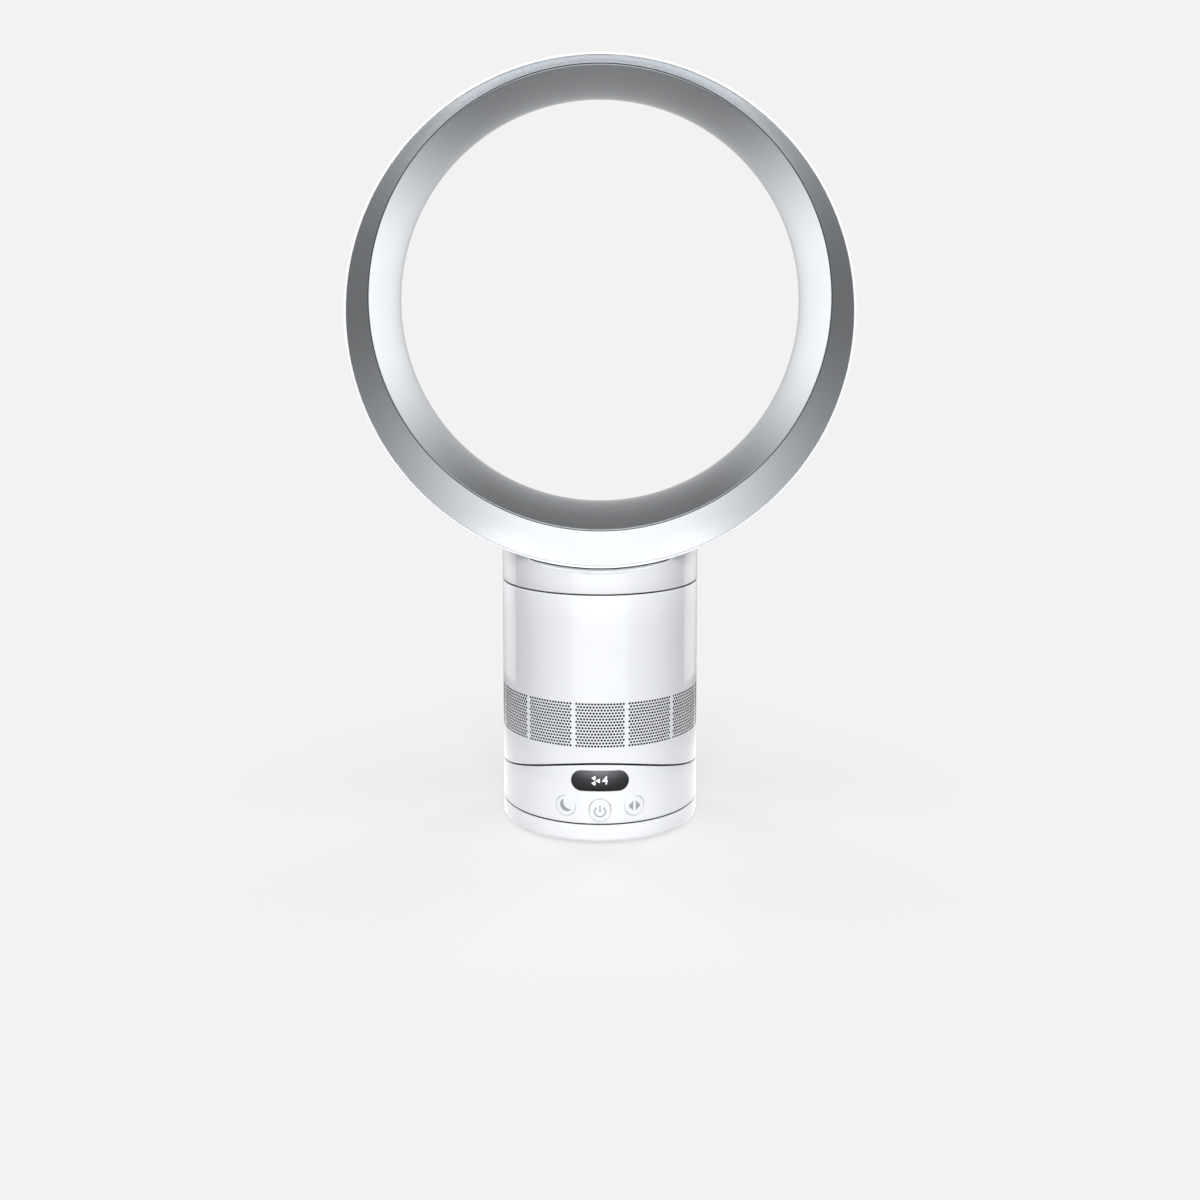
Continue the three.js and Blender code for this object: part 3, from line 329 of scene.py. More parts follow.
def smoked_acrylic_painted_reflection(low, high, half):
    """Smoked acrylic, polished: near black below and at its ends, with a painted reflection, a grey band that
    lightens towards its upper edge.
    """
    material, tree, shader, place = new_material(
        "smoked_acrylic_painted_reflection", srgb("101113"), 0.08, {"IOR": 1.49, "Specular IOR Level": 0.22}
    )
    parts = add_node(tree, "ShaderNodeSeparateXYZ", None, {"Vector": place})
    height = parts.outputs["Z"]
    # Painted reflection: the colour rises from near black below to pale grey at the window's upper edge.
    share = add_node(tree, "ShaderNodeMapRange", {"From Min": low, "From Max": high}, {"Value": height})
    ramp = add_node(tree, "ShaderNodeValToRGB", None, {"Fac": share.outputs["Result"]})
    ramp.color_ramp.elements[0].color = srgb("0B0C0D")
    ramp.color_ramp.elements[0].position = 0.12
    middle = ramp.color_ramp.elements.new(0.55)
    middle.color = srgb("44464A")
    ramp.color_ramp.elements[-1].color = srgb("87898D")
    # The painted reflection fades back to near black towards the window's ends.
    aside = add_node(tree, "ShaderNodeMath", {"operation": "ABSOLUTE"}, {0: parts.outputs["X"]})
    reach = {"From Min": half * 0.1, "From Max": half, "To Max": 0.85}
    ends = add_node(tree, "ShaderNodeMapRange", reach, {"Value": aside.outputs[0]})
    feeds = {"Factor": ends.outputs["Result"], "A": ramp.outputs["Color"]}
    tone = add_node(tree, "ShaderNodeMix", {"data_type": "RGBA"}, feeds)
    tone.inputs["B"].default_value = srgb("0B0C0D")
    tree.links.new(tone.outputs["Result"], shader.inputs["Base Color"])
    return material


def display_light():
    """Light-emitting segments behind the smoked window: an even white glow."""
    glowing = {"Emission Strength": 0.85}
    material, tree, shader, place = new_material("white_led_segment", srgb("F6F8FA"), 0.5, glowing)
    glow = add_node(tree, "ShaderNodeTexNoise", {"Scale": 900.0, "Detail": 1.0}, {"Vector": place})
    ramp = add_node(tree, "ShaderNodeValToRGB", None, {"Fac": glow.outputs["Fac"]})
    ramp.color_ramp.elements[0].color = srgb("E8ECF0")
    ramp.color_ramp.elements[1].color = srgb("FFFFFF")
    tree.links.new(ramp.outputs["Color"], shader.inputs["Emission Color"])
    return material


def grey_ink():
    """Grey pad-printed ink: matte beside the gloss of the button, with slightly uneven cover."""
    ink = bpy.context.scene.fan_finish.ink
    material, tree, shader, place = new_material("grey_pad_print_ink", shade(ink, 1), 0.45)
    mottle(tree, shader, place, shade(ink, 0.96), shade(ink, 1.04), 700.0)
    return material


def glass_filled_nylon():
    """Black glass-filled nylon, moulded: a dry satin with a fine pale speckle of fibre ends."""
    material, tree, shader, place = new_material("glass_filled_nylon", srgb("3A3D40"), 0.55)
    fibres = mottle(tree, shader, place, srgb("33363A"), srgb("44474B"), 1500.0, 4.0)
    bump(tree, shader, fibres.outputs["Fac"], 0.15, 0.0001)
    return material


def acetal():
    """Natural acetal, moulded: waxy off-white with a soft sheen."""
    waxy = {"Subsurface Weight": 0.08}
    material, tree, shader, place = new_material("natural_acetal", srgb("E6E3DA"), 0.4, waxy)
    mottle(tree, shader, place, srgb("E2DFD5"), srgb("EAE7DF"), 120.0)
    return material


def turned_steel():
    """Bare steel with fine turning marks: streaks about 0.45 mm apart that run round the part."""
    material, tree, shader, place = new_material("turned_steel", srgb("A3A6AB"), 0.34, {"Metallic": 1.0})
    streaks = {"wave_type": "RINGS", "rings_direction": "Z", "Scale": 700.0, "Distortion": 0.6, "Detail": 2.0}
    marks = add_node(tree, "ShaderNodeTexWave", streaks, {"Vector": place})
    vary_roughness(tree, shader, marks.outputs["Fac"], 0.28, 0.42)
    bump(tree, shader, marks.outputs["Fac"], 0.1, 0.00005)
    return material


def enamelled_copper():
    """Enamelled copper wire, wound: 0.8 mm wire, drawn 1.6 mm apart to show, under a warm varnish."""
    metal = {"Metallic": 0.9}
    material, tree, shader, place = new_material("enamelled_copper_wire", srgb("B5703F"), 0.32, metal)
    layers = {"wave_type": "BANDS", "bands_direction": "Z", "Scale": 200.0, "Distortion": 0.4}
    turns = add_node(tree, "ShaderNodeTexWave", layers, {"Vector": place})
    bump(tree, shader, turns.outputs["Fac"], 0.6, 0.0004)
    mottle(tree, shader, place, srgb("A5622F"), srgb("C27F4C"), 250.0)
    return material


def circuit_board():
    """Green solder mask on a glass-fibre board: copper tracks 1.6 mm apart show through as a paler green."""
    material, tree, shader, place = new_material("circuit_board_mask", srgb("1E5B38"), 0.3)
    tracks = add_node(tree, "ShaderNodeTexBrick", {"Scale": 160.0, "Mortar Size": 0.02}, {"Vector": place})
    tracks.inputs["Color1"].default_value = srgb("1C5635")
    tracks.inputs["Color2"].default_value = srgb("226640")
    tracks.inputs["Mortar"].default_value = srgb("3C8A5A")
    tree.links.new(tracks.outputs["Color"], shader.inputs["Base Color"])
    return material


def moulded_rubber():
    """Moulded rubber: a dull near-black with a fine grain and a slight bloom."""
    material, tree, shader, place = new_material("moulded_rubber", srgb("2B2C2D"), 0.75)
    grain = mottle(tree, shader, place, srgb("262728"), srgb("333435"), 1200.0, 3.0)
    bump(tree, shader, grain.outputs["Fac"], 0.2, 0.0001)
    return material


def open_cell_foam():
    """Open-cell foam: charcoal with pores about 1 mm across."""
    material, tree, shader, place = new_material("open_cell_foam", srgb("2C2D2F"), 0.95)
    pores = add_node(tree, "ShaderNodeTexVoronoi", {"Scale": 1000.0}, {"Vector": place})
    # Painted shade: the pores darken towards their middles, as their hollows would in shade.
    ramp = add_node(tree, "ShaderNodeValToRGB", None, {"Fac": pores.outputs["Distance"]})
    ramp.color_ramp.elements[0].color = srgb("121314")
    ramp.color_ramp.elements[1].color = srgb("3A3B3D")
    tree.links.new(ramp.outputs["Color"], shader.inputs["Base Color"])
    bump(tree, shader, pores.outputs["Distance"], 0.8, 0.0008)
    return material


MAKERS = {
    "white_gloss": white_abs,
    "silver_trim": silver_paint,
    "dark_nylon": glass_filled_nylon,
    "pale_nylon": acetal,
    "steel": turned_steel,
    "copper": enamelled_copper,
    "board": circuit_board,
    "rubber": moulded_rubber,
    "foam": open_cell_foam,
}
FINISHES = {}


def finish_for(slot):
    """The material of a slot, made once."""
    if slot not in FINISHES:
        FINISHES[slot] = MAKERS[slot]()
    return FINISHES[slot]


# ---- Modelling helpers ----


def only(piece):
    """Selects one object alone and makes it active."""
    bpy.ops.object.select_all(action="DESELECT")
    piece.select_set(True)
    bpy.context.view_layer.objects.active = piece


def loft(name, loops, sides, axis="Z", cap_start=False):
    """A circle about an axis is added and extruded loop by loop.

    A loop is (radius, place along the axis, height of its centre). Radius 0 ends the piece in a point.
    Where the last loop repeats the first, the two weld into a closed ring.
    """
    radius, along, lift = loops[0]
    bpy.ops.object.select_all(action="DESELECT")
    turn = (math.radians(90), 0, 0) if axis == "Y" else (0, 0, 0)
    start = (0, along, lift) if axis == "Y" else (0, 0, along)
    fill = "NGON" if cap_start else "NOTHING"
    bpy.ops.mesh.primitive_circle_add(
        vertices=sides, radius=radius, fill_type=fill, location=start, rotation=turn
    )
    piece = bpy.context.object
    piece.name = name
    bpy.ops.object.transform_apply(location=True, rotation=True, scale=True)
    bpy.ops.object.mode_set(mode="EDIT")
    bpy.ops.mesh.select_mode(type="EDGE")
    bpy.ops.mesh.select_all(action="SELECT")
    if cap_start:
        bpy.ops.mesh.region_to_loop()
    for next_radius, next_along, next_lift in loops[1:]:
        step = (0, next_along - along, next_lift - lift) if axis == "Y" else (0, 0, next_along - along)
        centre = (0, next_along, next_lift) if axis == "Y" else (0, 0, next_along)
        bpy.ops.mesh.extrude_edges_move(TRANSFORM_OT_translate={"value": step})
        if next_radius == 0:
            bpy.ops.mesh.merge(type="CENTER")
            break
        scale = next_radius / radius
        size = (scale, 1, scale) if axis == "Y" else (scale, scale, 1)
        bpy.ops.transform.resize(value=size, center_override=centre)
        radius, along, lift = next_radius, next_along, next_lift
    bpy.ops.mesh.select_all(action="SELECT")
    bpy.ops.mesh.remove_doubles(threshold=1e-6)
    bpy.ops.mesh.normals_make_consistent(inside=False)
    bpy.ops.object.mode_set(mode="OBJECT")
    return piece


def body_loops(profile):
    """A profile of radius and height, closed on its first point."""
    return [(r, z, 0) for r, z in [*profile, profile[0]]]


def face_out(piece, close=False, weld=0.0):
    """Turns a piece's faces outwards. It closes open ends and merges doubles first where that is asked for."""
    only(piece)
    bpy.ops.object.mode_set(mode="EDIT")
    bpy.ops.mesh.select_all(action="SELECT")
    if weld:
        bpy.ops.mesh.remove_doubles(threshold=weld)
    if close:
        bpy.ops.mesh.fill_holes(sides=0)
    bpy.ops.mesh.normals_make_consistent(inside=False)
    bpy.ops.object.mode_set(mode="OBJECT")
    return piece


def carve(piece, tool, operation="DIFFERENCE"):
    """Cuts or joins with a Boolean modifier, applies it and removes the tool."""
    only(piece)
    modifier = piece.modifiers.new("Carve", "BOOLEAN")
    modifier.operation = operation
    modifier.solver = "EXACT"
    modifier.object = tool
    bpy.ops.object.modifier_apply(modifier=modifier.name)
    bpy.data.objects.remove(tool, do_unlink=True)
    return piece


def place(piece, turn=(0, 0, 0), move=(0, 0, 0)):
    """Turns and moves an object, and puts both into its mesh."""
    only(piece)
    piece.rotation_euler = turn
    piece.location = move
    bpy.ops.object.transform_apply(location=True, rotation=True, scale=True)
    return piece


def finished(piece, name, material, body, replaces=(), smooth=32):
    """Names, shades and paints a piece, and says what it rides on and stands for."""
    only(piece)
    piece.name = name
    piece.data.name = name
    piece.data.materials.clear()
    piece.data.materials.append(material)
    bpy.ops.object.shade_smooth_by_angle(angle=math.radians(smooth))
    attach(piece, body)
    if replaces:
        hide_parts(*replaces)
    return piece


def saddle_height(y, radius):
    """Height of the saddle's cylinder at a depth."""
    return SADDLE_Z + SADDLE_R - math.sqrt(radius**2 - y**2)


def follow_saddle(piece, low, high, level, radius):
    """Lifts the vertices between two heights, modelled flat at a level, onto the saddle."""
    for vertex in piece.data.vertices:
        if low <= vertex.co.z <= high:
            vertex.co.z += saddle_height(vertex.co.y, radius) - level
    piece.data.update()


def curve_onto_body(piece, radius):
    """Bends a piece modelled flat before the front of the body, so that it follows the body's cylinder."""
    for vertex in piece.data.vertices:
        vertex.co.y += radius - math.sqrt(radius**2 - vertex.co.x**2)
    piece.data.update()


# ---- Foot ----


def quarter(radius, height, size, start, end, steps=5):
    """Points of a rounding about a centre, as radius and height, between two angles in degrees."""
    angles = [math.radians(start + (end - start) * i / steps) for i in range(steps + 1)]
    return [(radius + size * math.cos(a), height + size * math.sin(a)) for a in angles]


class FAN_OT_foot(bpy.types.Operator):
    """Foot shell, dished below, with a groove for the rubber ring and a hole for the inlet"""

    bl_idname = "fan.foot"
    bl_label = "Foot shell"

    def execute(self, context):
        sizes = context.scene.fan_body
        r, wall, edge, low_edge = sizes.radius, sizes.wall, sizes.edge, sizes.foot_edge
        low, top, floor = 1.2 * MM, FOOT_TOP, 3.6 * MM
        pad_in, pad_out = 59.2 * MM, 64.8 * MM
        profile = [
            (10 * MM, low),
            (pad_in, low),
            (pad_in, low + 1 * MM),
            (pad_out, low + 1 * MM),
            (pad_out, low),
            *quarter(r - low_edge, low + low_edge, low_edge, -90, 0, 8),
            *quarter(r - edge, top - edge, edge, 0, 90, 3),
            (r - wall, top),
            (r - wall, floor),
            (10 * MM, floor),
        ]
        shell = loft("foot", body_loops(profile), sizes.sides)
        low_corner, high_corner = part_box("inlet_socket")
        middle = (low_corner.z + high_corner.z) / 2
        ends = [(4.5 * MM, 66 * MM, middle), (4.5 * MM, 80 * MM, middle)]
        hole = loft("hole", ends, 48, "Y", cap_start=True)
        carve(shell, face_out(hole, close=True))
        finished(shell, "foot_moulding", finish_for("white_gloss"), "foot", ["foot_shell"])
        return {"FINISHED"}


class FAN_OT_foot_fittings(bpy.types.Operator):
    """Ribbed rubber ring, power inlet and base screws"""

    bl_idname = "fan.foot_fittings"
    bl_label = "Foot fittings"

    def execute(self, context):
        edge = 0.5 * MM
        inner, outer, top = 59.5 * MM, 64.5 * MM, 1.9 * MM
        middle = (inner + outer) / 2
        profile = [
            (inner, top),
            (inner, edge),
            (inner + edge, 0),
            (middle - 0.9 * MM, 0),
            (middle - 0.6 * MM, 0.4 * MM),
            (middle + 0.6 * MM, 0.4 * MM),
            (middle + 0.9 * MM, 0),
            (outer - edge, 0),
            (outer, edge),
            (outer, top),
        ]
        ring = loft("ring", body_loops(profile), 160)
        finished(ring, "rubber_foot_ring", finish_for("rubber"), "foot", ["foot_pad_ring"])

        low_corner, high_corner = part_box("inlet_socket")
        height, mouth = (low_corner.z + high_corner.z) / 2, high_corner.y
        barrel = [
            (4.2 * MM, mouth - 9 * MM, height),
            (4.2 * MM, mouth - 0.4 * MM, height),
            (3.9 * MM, mouth, height),
            (3.0 * MM, mouth, height),
            (2.8 * MM, mouth - 0.3 * MM, height),
            (2.8 * MM, mouth - 6.6 * MM, height),
            (0.8 * MM, mouth - 6.6 * MM, height),
            (0.8 * MM, mouth - 1.6 * MM, height),
            (0.5 * MM, mouth - 1.2 * MM, height),
            (0, mouth - 1.2 * MM, height),
        ]
        inlet = loft("inlet", barrel, 48, "Y", cap_start=True)
        finished(inlet, "power_inlet", finish_for("dark_nylon"), "foot", ["inlet_socket"])

        low = 1.2 * MM
        head = [
            (2.2 * MM, low + 0.02 * MM, 0),
            (2.2 * MM, low - 0.35 * MM, 0),
            (1.9 * MM, low - 0.6 * MM, 0),
            (1.2 * MM, low - 0.7 * MM, 0),
            (1.2 * MM, low - 0.2 * MM, 0),
            (0, low - 0.2 * MM, 0),
        ]
        circle = 36 * MM
        screws = []
        for i in range(4):
            angle = math.radians(45 + 90 * i)
            screw = loft("screw", head, 36, cap_start=True)
            screws.append(place(screw, move=(circle * math.cos(angle), circle * math.sin(angle), 0)))
        finished(joined(screws), "base_screws", finish_for("steel"), "foot")
        return {"FINISHED"}


# ---- Control section ----


def pill_cutter(width, tall, height, near, far):
    """A pill-shaped bar that runs out of the front of the body."""
    straight = (width - tall) / 2
    bpy.ops.object.select_all(action="DESELECT")
    start, turn = (0, near, height), (math.radians(90), 0, 0)
    bpy.ops.mesh.primitive_circle_add(
        vertices=64, radius=tall / 2, fill_type="NGON", location=start, rotation=turn
    )
    bar = bpy.context.object
    bpy.ops.object.transform_apply(location=True, rotation=True, scale=True)
    for vertex in bar.data.vertices:
        vertex.co.x += math.copysign(straight, vertex.co.x) if abs(vertex.co.x) > 1e-7 else 0
    bar.data.update()
    bpy.ops.object.mode_set(mode="EDIT")
    bpy.ops.mesh.select_all(action="SELECT")
    bpy.ops.mesh.extrude_region_move(TRANSFORM_OT_translate={"value": (0, far - near, 0)})
    bpy.ops.mesh.select_all(action="SELECT")
    bpy.ops.mesh.normals_make_consistent(inside=False)
    bpy.ops.object.mode_set(mode="OBJECT")
    return bar


def round_cutter(radius, height, angle, near=-0.05, far=-0.09):
    """A round bar that runs out of the front of the body at an angle."""
    bar = loft("bar", [(radius, near, 0), (radius, far, 0)], 96, "Y", cap_start=True)
    return place(face_out(bar, close=True), turn=(0, 0, angle), move=(0, 0, height))


class FAN_OT_control_shell(bpy.types.Operator):
    """Control section's shell, with a saddle-shaped top and the openings for display and buttons"""

    bl_idname = "fan.control_shell"
    bl_label = "Control shell"

    def execute(self, context):
        body, controls = context.scene.fan_body, context.scene.fan_controls
        r, wall, edge = body.radius, body.wall, body.edge
        low, level = CONTROL_LOW, 43.5 * MM
        rows = [low + edge + (30 * MM - low) * i / 6 for i in range(7)]
        profile = [
            (r - wall, low),
            *quarter(r - edge, low + edge, edge, -90, 0, 3),
            *[(r, z) for z in rows[1:]],
            *quarter(r - edge, level - edge, edge, 0, 90, 3),
            (r - wall, level),
        ]
        shell = loft("control", body_loops(profile), body.sides)
        follow_saddle(shell, level - 1.5 * edge, level + edge, level, SADDLE_R + SEAM / 2)
        window = (controls.display_width, controls.display_tall, controls.display_height)
        carve(shell, pill_cutter(*window, -0.05, -0.09))
        carve(shell, round_cutter(controls.power_radius + controls.gap, controls.power_height, 0))
        carve(shell, self.scoop(r, controls))
        for side in (-1, 1):
            angle = side * controls.side_angle
            carve(shell, round_cutter(controls.side_radius + controls.gap, controls.side_height, angle))
        stands_for = ["control_shell", "power_dish"]
        white = finish_for("white_gloss")
        finished(shell, "control_moulding", white, "control_section", stands_for)
        return {"FINISHED"}

    def scoop(self, radius, controls):
        """A round hollow, centred a little above the power button, whose floor slopes in to the button."""
        size = controls.power_radius
        height = controls.power_height + controls.dish_radius - size
        loops = [
            (size * 0.5, -(radius - 1.7 * MM), height - 0.5 * MM),
            (size - 0.3 * MM, -(radius - 1.1 * MM), height),
            (size, -(radius - 0.8 * MM), height),
            (size + 0.3 * MM, -(radius + 1 * MM), height),
            (0, -(radius + 1 * MM), height),
        ]
        return loft("scoop", loops, 96, "Y", cap_start=True)


class FAN_OT_display(bpy.types.Operator):
    """Smoked window with a lit fan symbol and a digit"""

    bl_idname = "fan.display"
    bl_label = "Display"

    def execute(self, context):
        body, controls = context.scene.fan_body, context.scene.fan_controls
        r, height, tall = body.radius, controls.display_height, controls.display_tall
        window = pill_cutter(controls.display_width - 0.5 * MM, tall - 0.5 * MM, height, -0.06, -0.09)
        face = r - 0.1 * MM
        back = r - 1.6 * MM
        section = [(back, 30 * MM), (face, 30 * MM), (face, 70 * MM), (back, 70 * MM)]
        carve(window, loft("skin", body_loops(section), body.sides), "INTERSECT")
        material = smoked_acrylic_painted_reflection(height - tall / 2, height + tall / 2, controls.display_width / 2)
        finished(window, "display_window", material, "control_section", ["display_lens"])

        light = display_light()
        symbol_x, digit_x, up = -3.2 * MM, 3.65 * MM, 0.2 * MM
        thick = 0.08 * MM
        blades = []
        for i in range(3):
            blade = triangle(3.0 * MM, 3.4 * MM, 0.6 * MM, thick, 0.15 * MM)
            blades.append(place(blade, turn=(0, 0, math.radians(120 * i))))
        symbol = joined(blades)
        place(symbol, turn=(math.radians(90), 0, 0), move=(symbol_x, -(face - thick / 2), height + up))
        curve_onto_body(symbol, r)
        finished(symbol, "display_fan_symbol", light, "control_section", smooth=20)

        bpy.ops.object.select_all(action="DESELECT")
        bpy.ops.object.text_add()
        digit = bpy.context.object
        digit.data.body = "4"
        digit.data.size = 8.6 * MM
        digit.data.align_x = "CENTER"
        digit.data.align_y = "CENTER"
        digit.data.extrude = thick / 2
        bpy.ops.object.convert(target="MESH")
        digit = bpy.context.object
        face_out(digit, weld=2e-6)
        place(digit, turn=(math.radians(90), 0, 0), move=(digit_x, -face, height + up))
        curve_onto_body(digit, r)
        finished(digit, "display_digit", light, "control_section", smooth=20)
        return {"FINISHED"}


def joined(pieces):
    """Joins objects into the first one."""
    only(pieces[0])
    for piece in pieces:
        piece.select_set(True)
    bpy.ops.object.join()
    return bpy.context.object


def bar(width, height, thick, x=0.0, y=0.0):
    """A small flat bar in the XY plane with rounded corners."""
    bpy.ops.object.select_all(action="DESELECT")
    bpy.ops.mesh.primitive_cube_add(size=1, location=(x, y, thick / 2), scale=(width, height, thick))
    piece = bpy.context.object
    bpy.ops.object.transform_apply(location=True, rotation=True, scale=True)
    only(piece)
    modifier = piece.modifiers.new("Round", "BEVEL")
    modifier.width = min(width, height) * 0.2
    modifier.segments = 2
    bpy.ops.object.modifier_apply(modifier=modifier.name)
    return piece


def power_symbol(radius, stroke, thick):
    """An open ring with a bar in its gap."""
    loops = [
        (radius + stroke / 2, 0, 0),
        (radius + stroke / 2, thick, 0),
        (radius - stroke / 2, thick, 0),
        (radius - stroke / 2, 0, 0),
        (radius + stroke / 2, 0, 0),
    ]
    ring = loft("ring", loops, 72)
    only(ring)
    bpy.ops.object.mode_set(mode="EDIT")
    bpy.ops.mesh.select_mode(type="FACE")
    bpy.ops.object.mode_set(mode="OBJECT")
    half_gap = math.radians(38)
    for polygon in ring.data.polygons:
        polygon.select = abs(math.atan2(polygon.center.x, polygon.center.y)) < half_gap
    bpy.ops.object.mode_set(mode="EDIT")
    bpy.ops.mesh.delete(type="FACE")
    bpy.ops.mesh.select_all(action="SELECT")
    bpy.ops.mesh.fill_holes(sides=0)
    bpy.ops.mesh.normals_make_consistent(inside=False)
    bpy.ops.object.mode_set(mode="OBJECT")
    return joined([ring, bar(stroke, radius * 1.13, thick, 0, radius * 0.5)])


def moon_symbol(radius, thick):
    """A crescent: a disc with a second, offset disc taken out of it."""
    moon = loft("moon", [(radius, 0, 0), (radius, thick, 0), (0, thick, 0)], 64, cap_start=True)
    bite_radius, offset, way = radius * 1.1, radius * 0.73, math.radians(38.5)
    loops = [(bite_radius, -thick, 0), (bite_radius, 2 * thick, 0), (0, 2 * thick, 0)]
    bite = loft("bite", loops, 64, cap_start=True)
    place(bite, move=(offset * math.cos(way), offset * math.sin(way), 0))
    return place(carve(moon, bite), move=(radius * 0.16, radius * 0.16, 0))


def triangle(length, width, corner, thick, start):
    """A flat triangle that points back to the origin from a start to the right of it, with rounded corners."""
    bpy.ops.object.select_all(action="DESELECT")
    turn = math.radians(90)
    bpy.ops.mesh.primitive_circle_add(vertices=3, radius=1, fill_type="NGON", rotation=(0, 0, turn))
    piece = bpy.context.object
    piece.scale = (width / math.sqrt(3), length / 1.5, 1)
    bpy.ops.object.transform_apply(location=True, rotation=True, scale=True)
    place(piece, move=(start + length / 1.5, 0, 0))
    only(piece)
    bpy.ops.object.mode_set(mode="EDIT")
    bpy.ops.mesh.select_all(action="SELECT")
    bpy.ops.mesh.bevel(offset=corner, segments=3, affect="VERTICES")
    bpy.ops.mesh.select_all(action="SELECT")
    bpy.ops.mesh.extrude_region_move(TRANSFORM_OT_translate={"value": (0, 0, thick)})
    bpy.ops.mesh.select_all(action="SELECT")
    bpy.ops.mesh.normals_make_consistent(inside=False)
    bpy.ops.object.mode_set(mode="OBJECT")
    return piece


def swing_symbol(height, thick):
    """Two triangles that point away from each other."""
    parts = []
    for side in (0, 1):
        arrow = triangle(height * 0.48, height, 0.2 * MM, thick, 0)
        place(arrow, turn=(0, 0, math.radians(180)), move=(height * 0.48 + 0.95 * MM, 0, 0))
        place(arrow, turn=(0, 0, math.radians(180 * side)))
        parts.append(arrow)
    return joined(parts)


class FAN_OT_buttons(bpy.types.Operator):
    """Power button in its dish, and the sleep and swing buttons, each with its printed symbol"""

    bl_idname = "fan.buttons"
    bl_label = "Buttons"

    def execute(self, context):
        body, controls = context.scene.fan_body, context.scene.fan_controls
        r, height = body.radius, controls.power_height
        white = finish_for("white_gloss")
        ink = grey_ink()
        thick = 0.06 * MM

        low_corner, high_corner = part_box("power_button")
        face, size, round_edge = low_corner.y, controls.power_radius, 0.9 * MM
        side = [
            (size - round_edge * (1 - math.cos(a)), face + round_edge * (1 - math.sin(a)), height)
            for a in [math.radians(90 * i / 6) for i in range(7)]
        ]
        crown = [(size * share, face, height) for share in (0.75, 0.5, 0.25)]
        stem = high_corner.y
        button_loops = [
            (2 * MM, stem, height),
            (2 * MM, -(r - 3.6 * MM), height),
            (size, -(r - 3.6 * MM), height),
            *side,
            *crown,
            (0, face, height),
        ]
        button = loft("button", button_loops, 96, "Y", cap_start=True)
        finished(button, "power_key_cap", white, "power_key", ["power_button"])
        symbol = power_symbol(3.8 * MM, 0.95 * MM, thick)
        place(symbol, turn=(math.radians(90), 0, 0), move=(0, face + thick / 4, height - 0.2 * MM))
        finished(symbol, "power_key_symbol", ink, "power_key", smooth=20)

        keys = {"sleep": (-1, moon_symbol(4.9 * MM, thick)), "swing": (1, swing_symbol(7.6 * MM, thick))}
        for key, (sign, mark) in keys.items():
            angle = sign * controls.side_angle
            size, proud = controls.side_radius, 0.3 * MM
            top, shoulder = -(r + proud), -68.8 * MM
            loops = [
                (2 * MM, -61.5 * MM, 0),
                (2 * MM, shoulder, 0),
                (size, shoulder, 0),
                (size, top + 0.35 * MM, 0),
                (size - 0.1 * MM, top + 0.1 * MM, 0),
                (size - 0.35 * MM, top, 0),
                *[(size * share, top, 0) for share in (0.8, 0.6, 0.4, 0.2)],
                (0, top, 0),
            ]
            cap = loft("cap", loops, 96, "Y", cap_start=True)
            for vertex in cap.data.vertices:
                if vertex.co.y < shoulder - 1 * MM:
                    vertex.co.y += r - math.sqrt(r**2 - vertex.co.x**2)
            place(cap, turn=(0, 0, angle), move=(0, 0, controls.side_height))
            finished(cap, key + "_key_cap", white, key + "_key", [key + "_button"])
            place(mark, turn=(math.radians(90), 0, 0), move=(0, top + thick / 4, 0))
            curve_onto_body(mark, r)
            place(mark, turn=(0, 0, angle), move=(0, 0, controls.side_height))
            finished(mark, key + "_key_symbol", ink, key + "_key", smooth=20)
        return {"FINISHED"}


# ---- Motor body ----


def hole_cell(width, height, radius):
    """One flat cell of the perforated sheet: a rectangle with an eight-sided hole.

    The hole's corners lie a little outside the round hole that it stands for. The outer edge starts as a
    wider octagon, whose points then move to the rectangle's corners and to the middles of its sides.
    """
    corner, spread_by, between, off_centre = radius * 1.026, 1.4, radius * 1.2, radius * 0.5
    upright = (math.radians(90), 0, 0)
    bpy.ops.object.select_all(action="DESELECT")
    bpy.ops.mesh.primitive_circle_add(vertices=8, radius=corner, fill_type="NOTHING", rotation=upright)
    cell = bpy.context.object
    bpy.ops.object.transform_apply(location=True, rotation=True, scale=True)
    bpy.ops.object.mode_set(mode="EDIT")
    bpy.ops.mesh.select_mode(type="EDGE")
    bpy.ops.mesh.select_all(action="SELECT")
    bpy.ops.mesh.extrude_edges_move(TRANSFORM_OT_translate={"value": (0, 0, 0)})
    bpy.ops.transform.resize(value=(spread_by, 1, spread_by), center_override=(0, 0, 0))
    bpy.ops.object.mode_set(mode="OBJECT")
    for vertex in cell.data.vertices:
        if vertex.co.length > between:
            for axis, half in ((0, width / 2), (2, height / 2)):
                far = abs(vertex.co[axis]) > off_centre
                vertex.co[axis] = math.copysign(half, vertex.co[axis]) if far else 0
    cell.data.update()
    return cell


def blank_cell(width, height):
    """A flat blank with its side edges split, so that it welds to the cells beside it."""
    bpy.ops.object.select_all(action="DESELECT")
    upright = (math.radians(90), 0, 0)
    bpy.ops.mesh.primitive_grid_add(x_subdivisions=1, y_subdivisions=2, size=1, rotation=upright)
    cell = bpy.context.object
    cell.scale = (width, height, 1)
    bpy.ops.object.transform_apply(location=True, rotation=True, scale=True)
    return cell


def repeated(piece, count, step):
    """Repeats a piece along a step with an Array modifier."""
    only(piece)
    modifier = piece.modifiers.new("Repeat", "ARRAY")
    modifier.count = count
    modifier.use_relative_offset = False
    modifier.use_constant_offset = True
    modifier.constant_offset_displace = step
    modifier.use_merge_vertices = True
    modifier.merge_threshold = WELD
    bpy.ops.object.modifier_apply(modifier=modifier.name)
    return piece


def moved(piece, x, z):
    """Moves a flat piece in its sheet."""
    return place(piece, move=(x, 0, z))


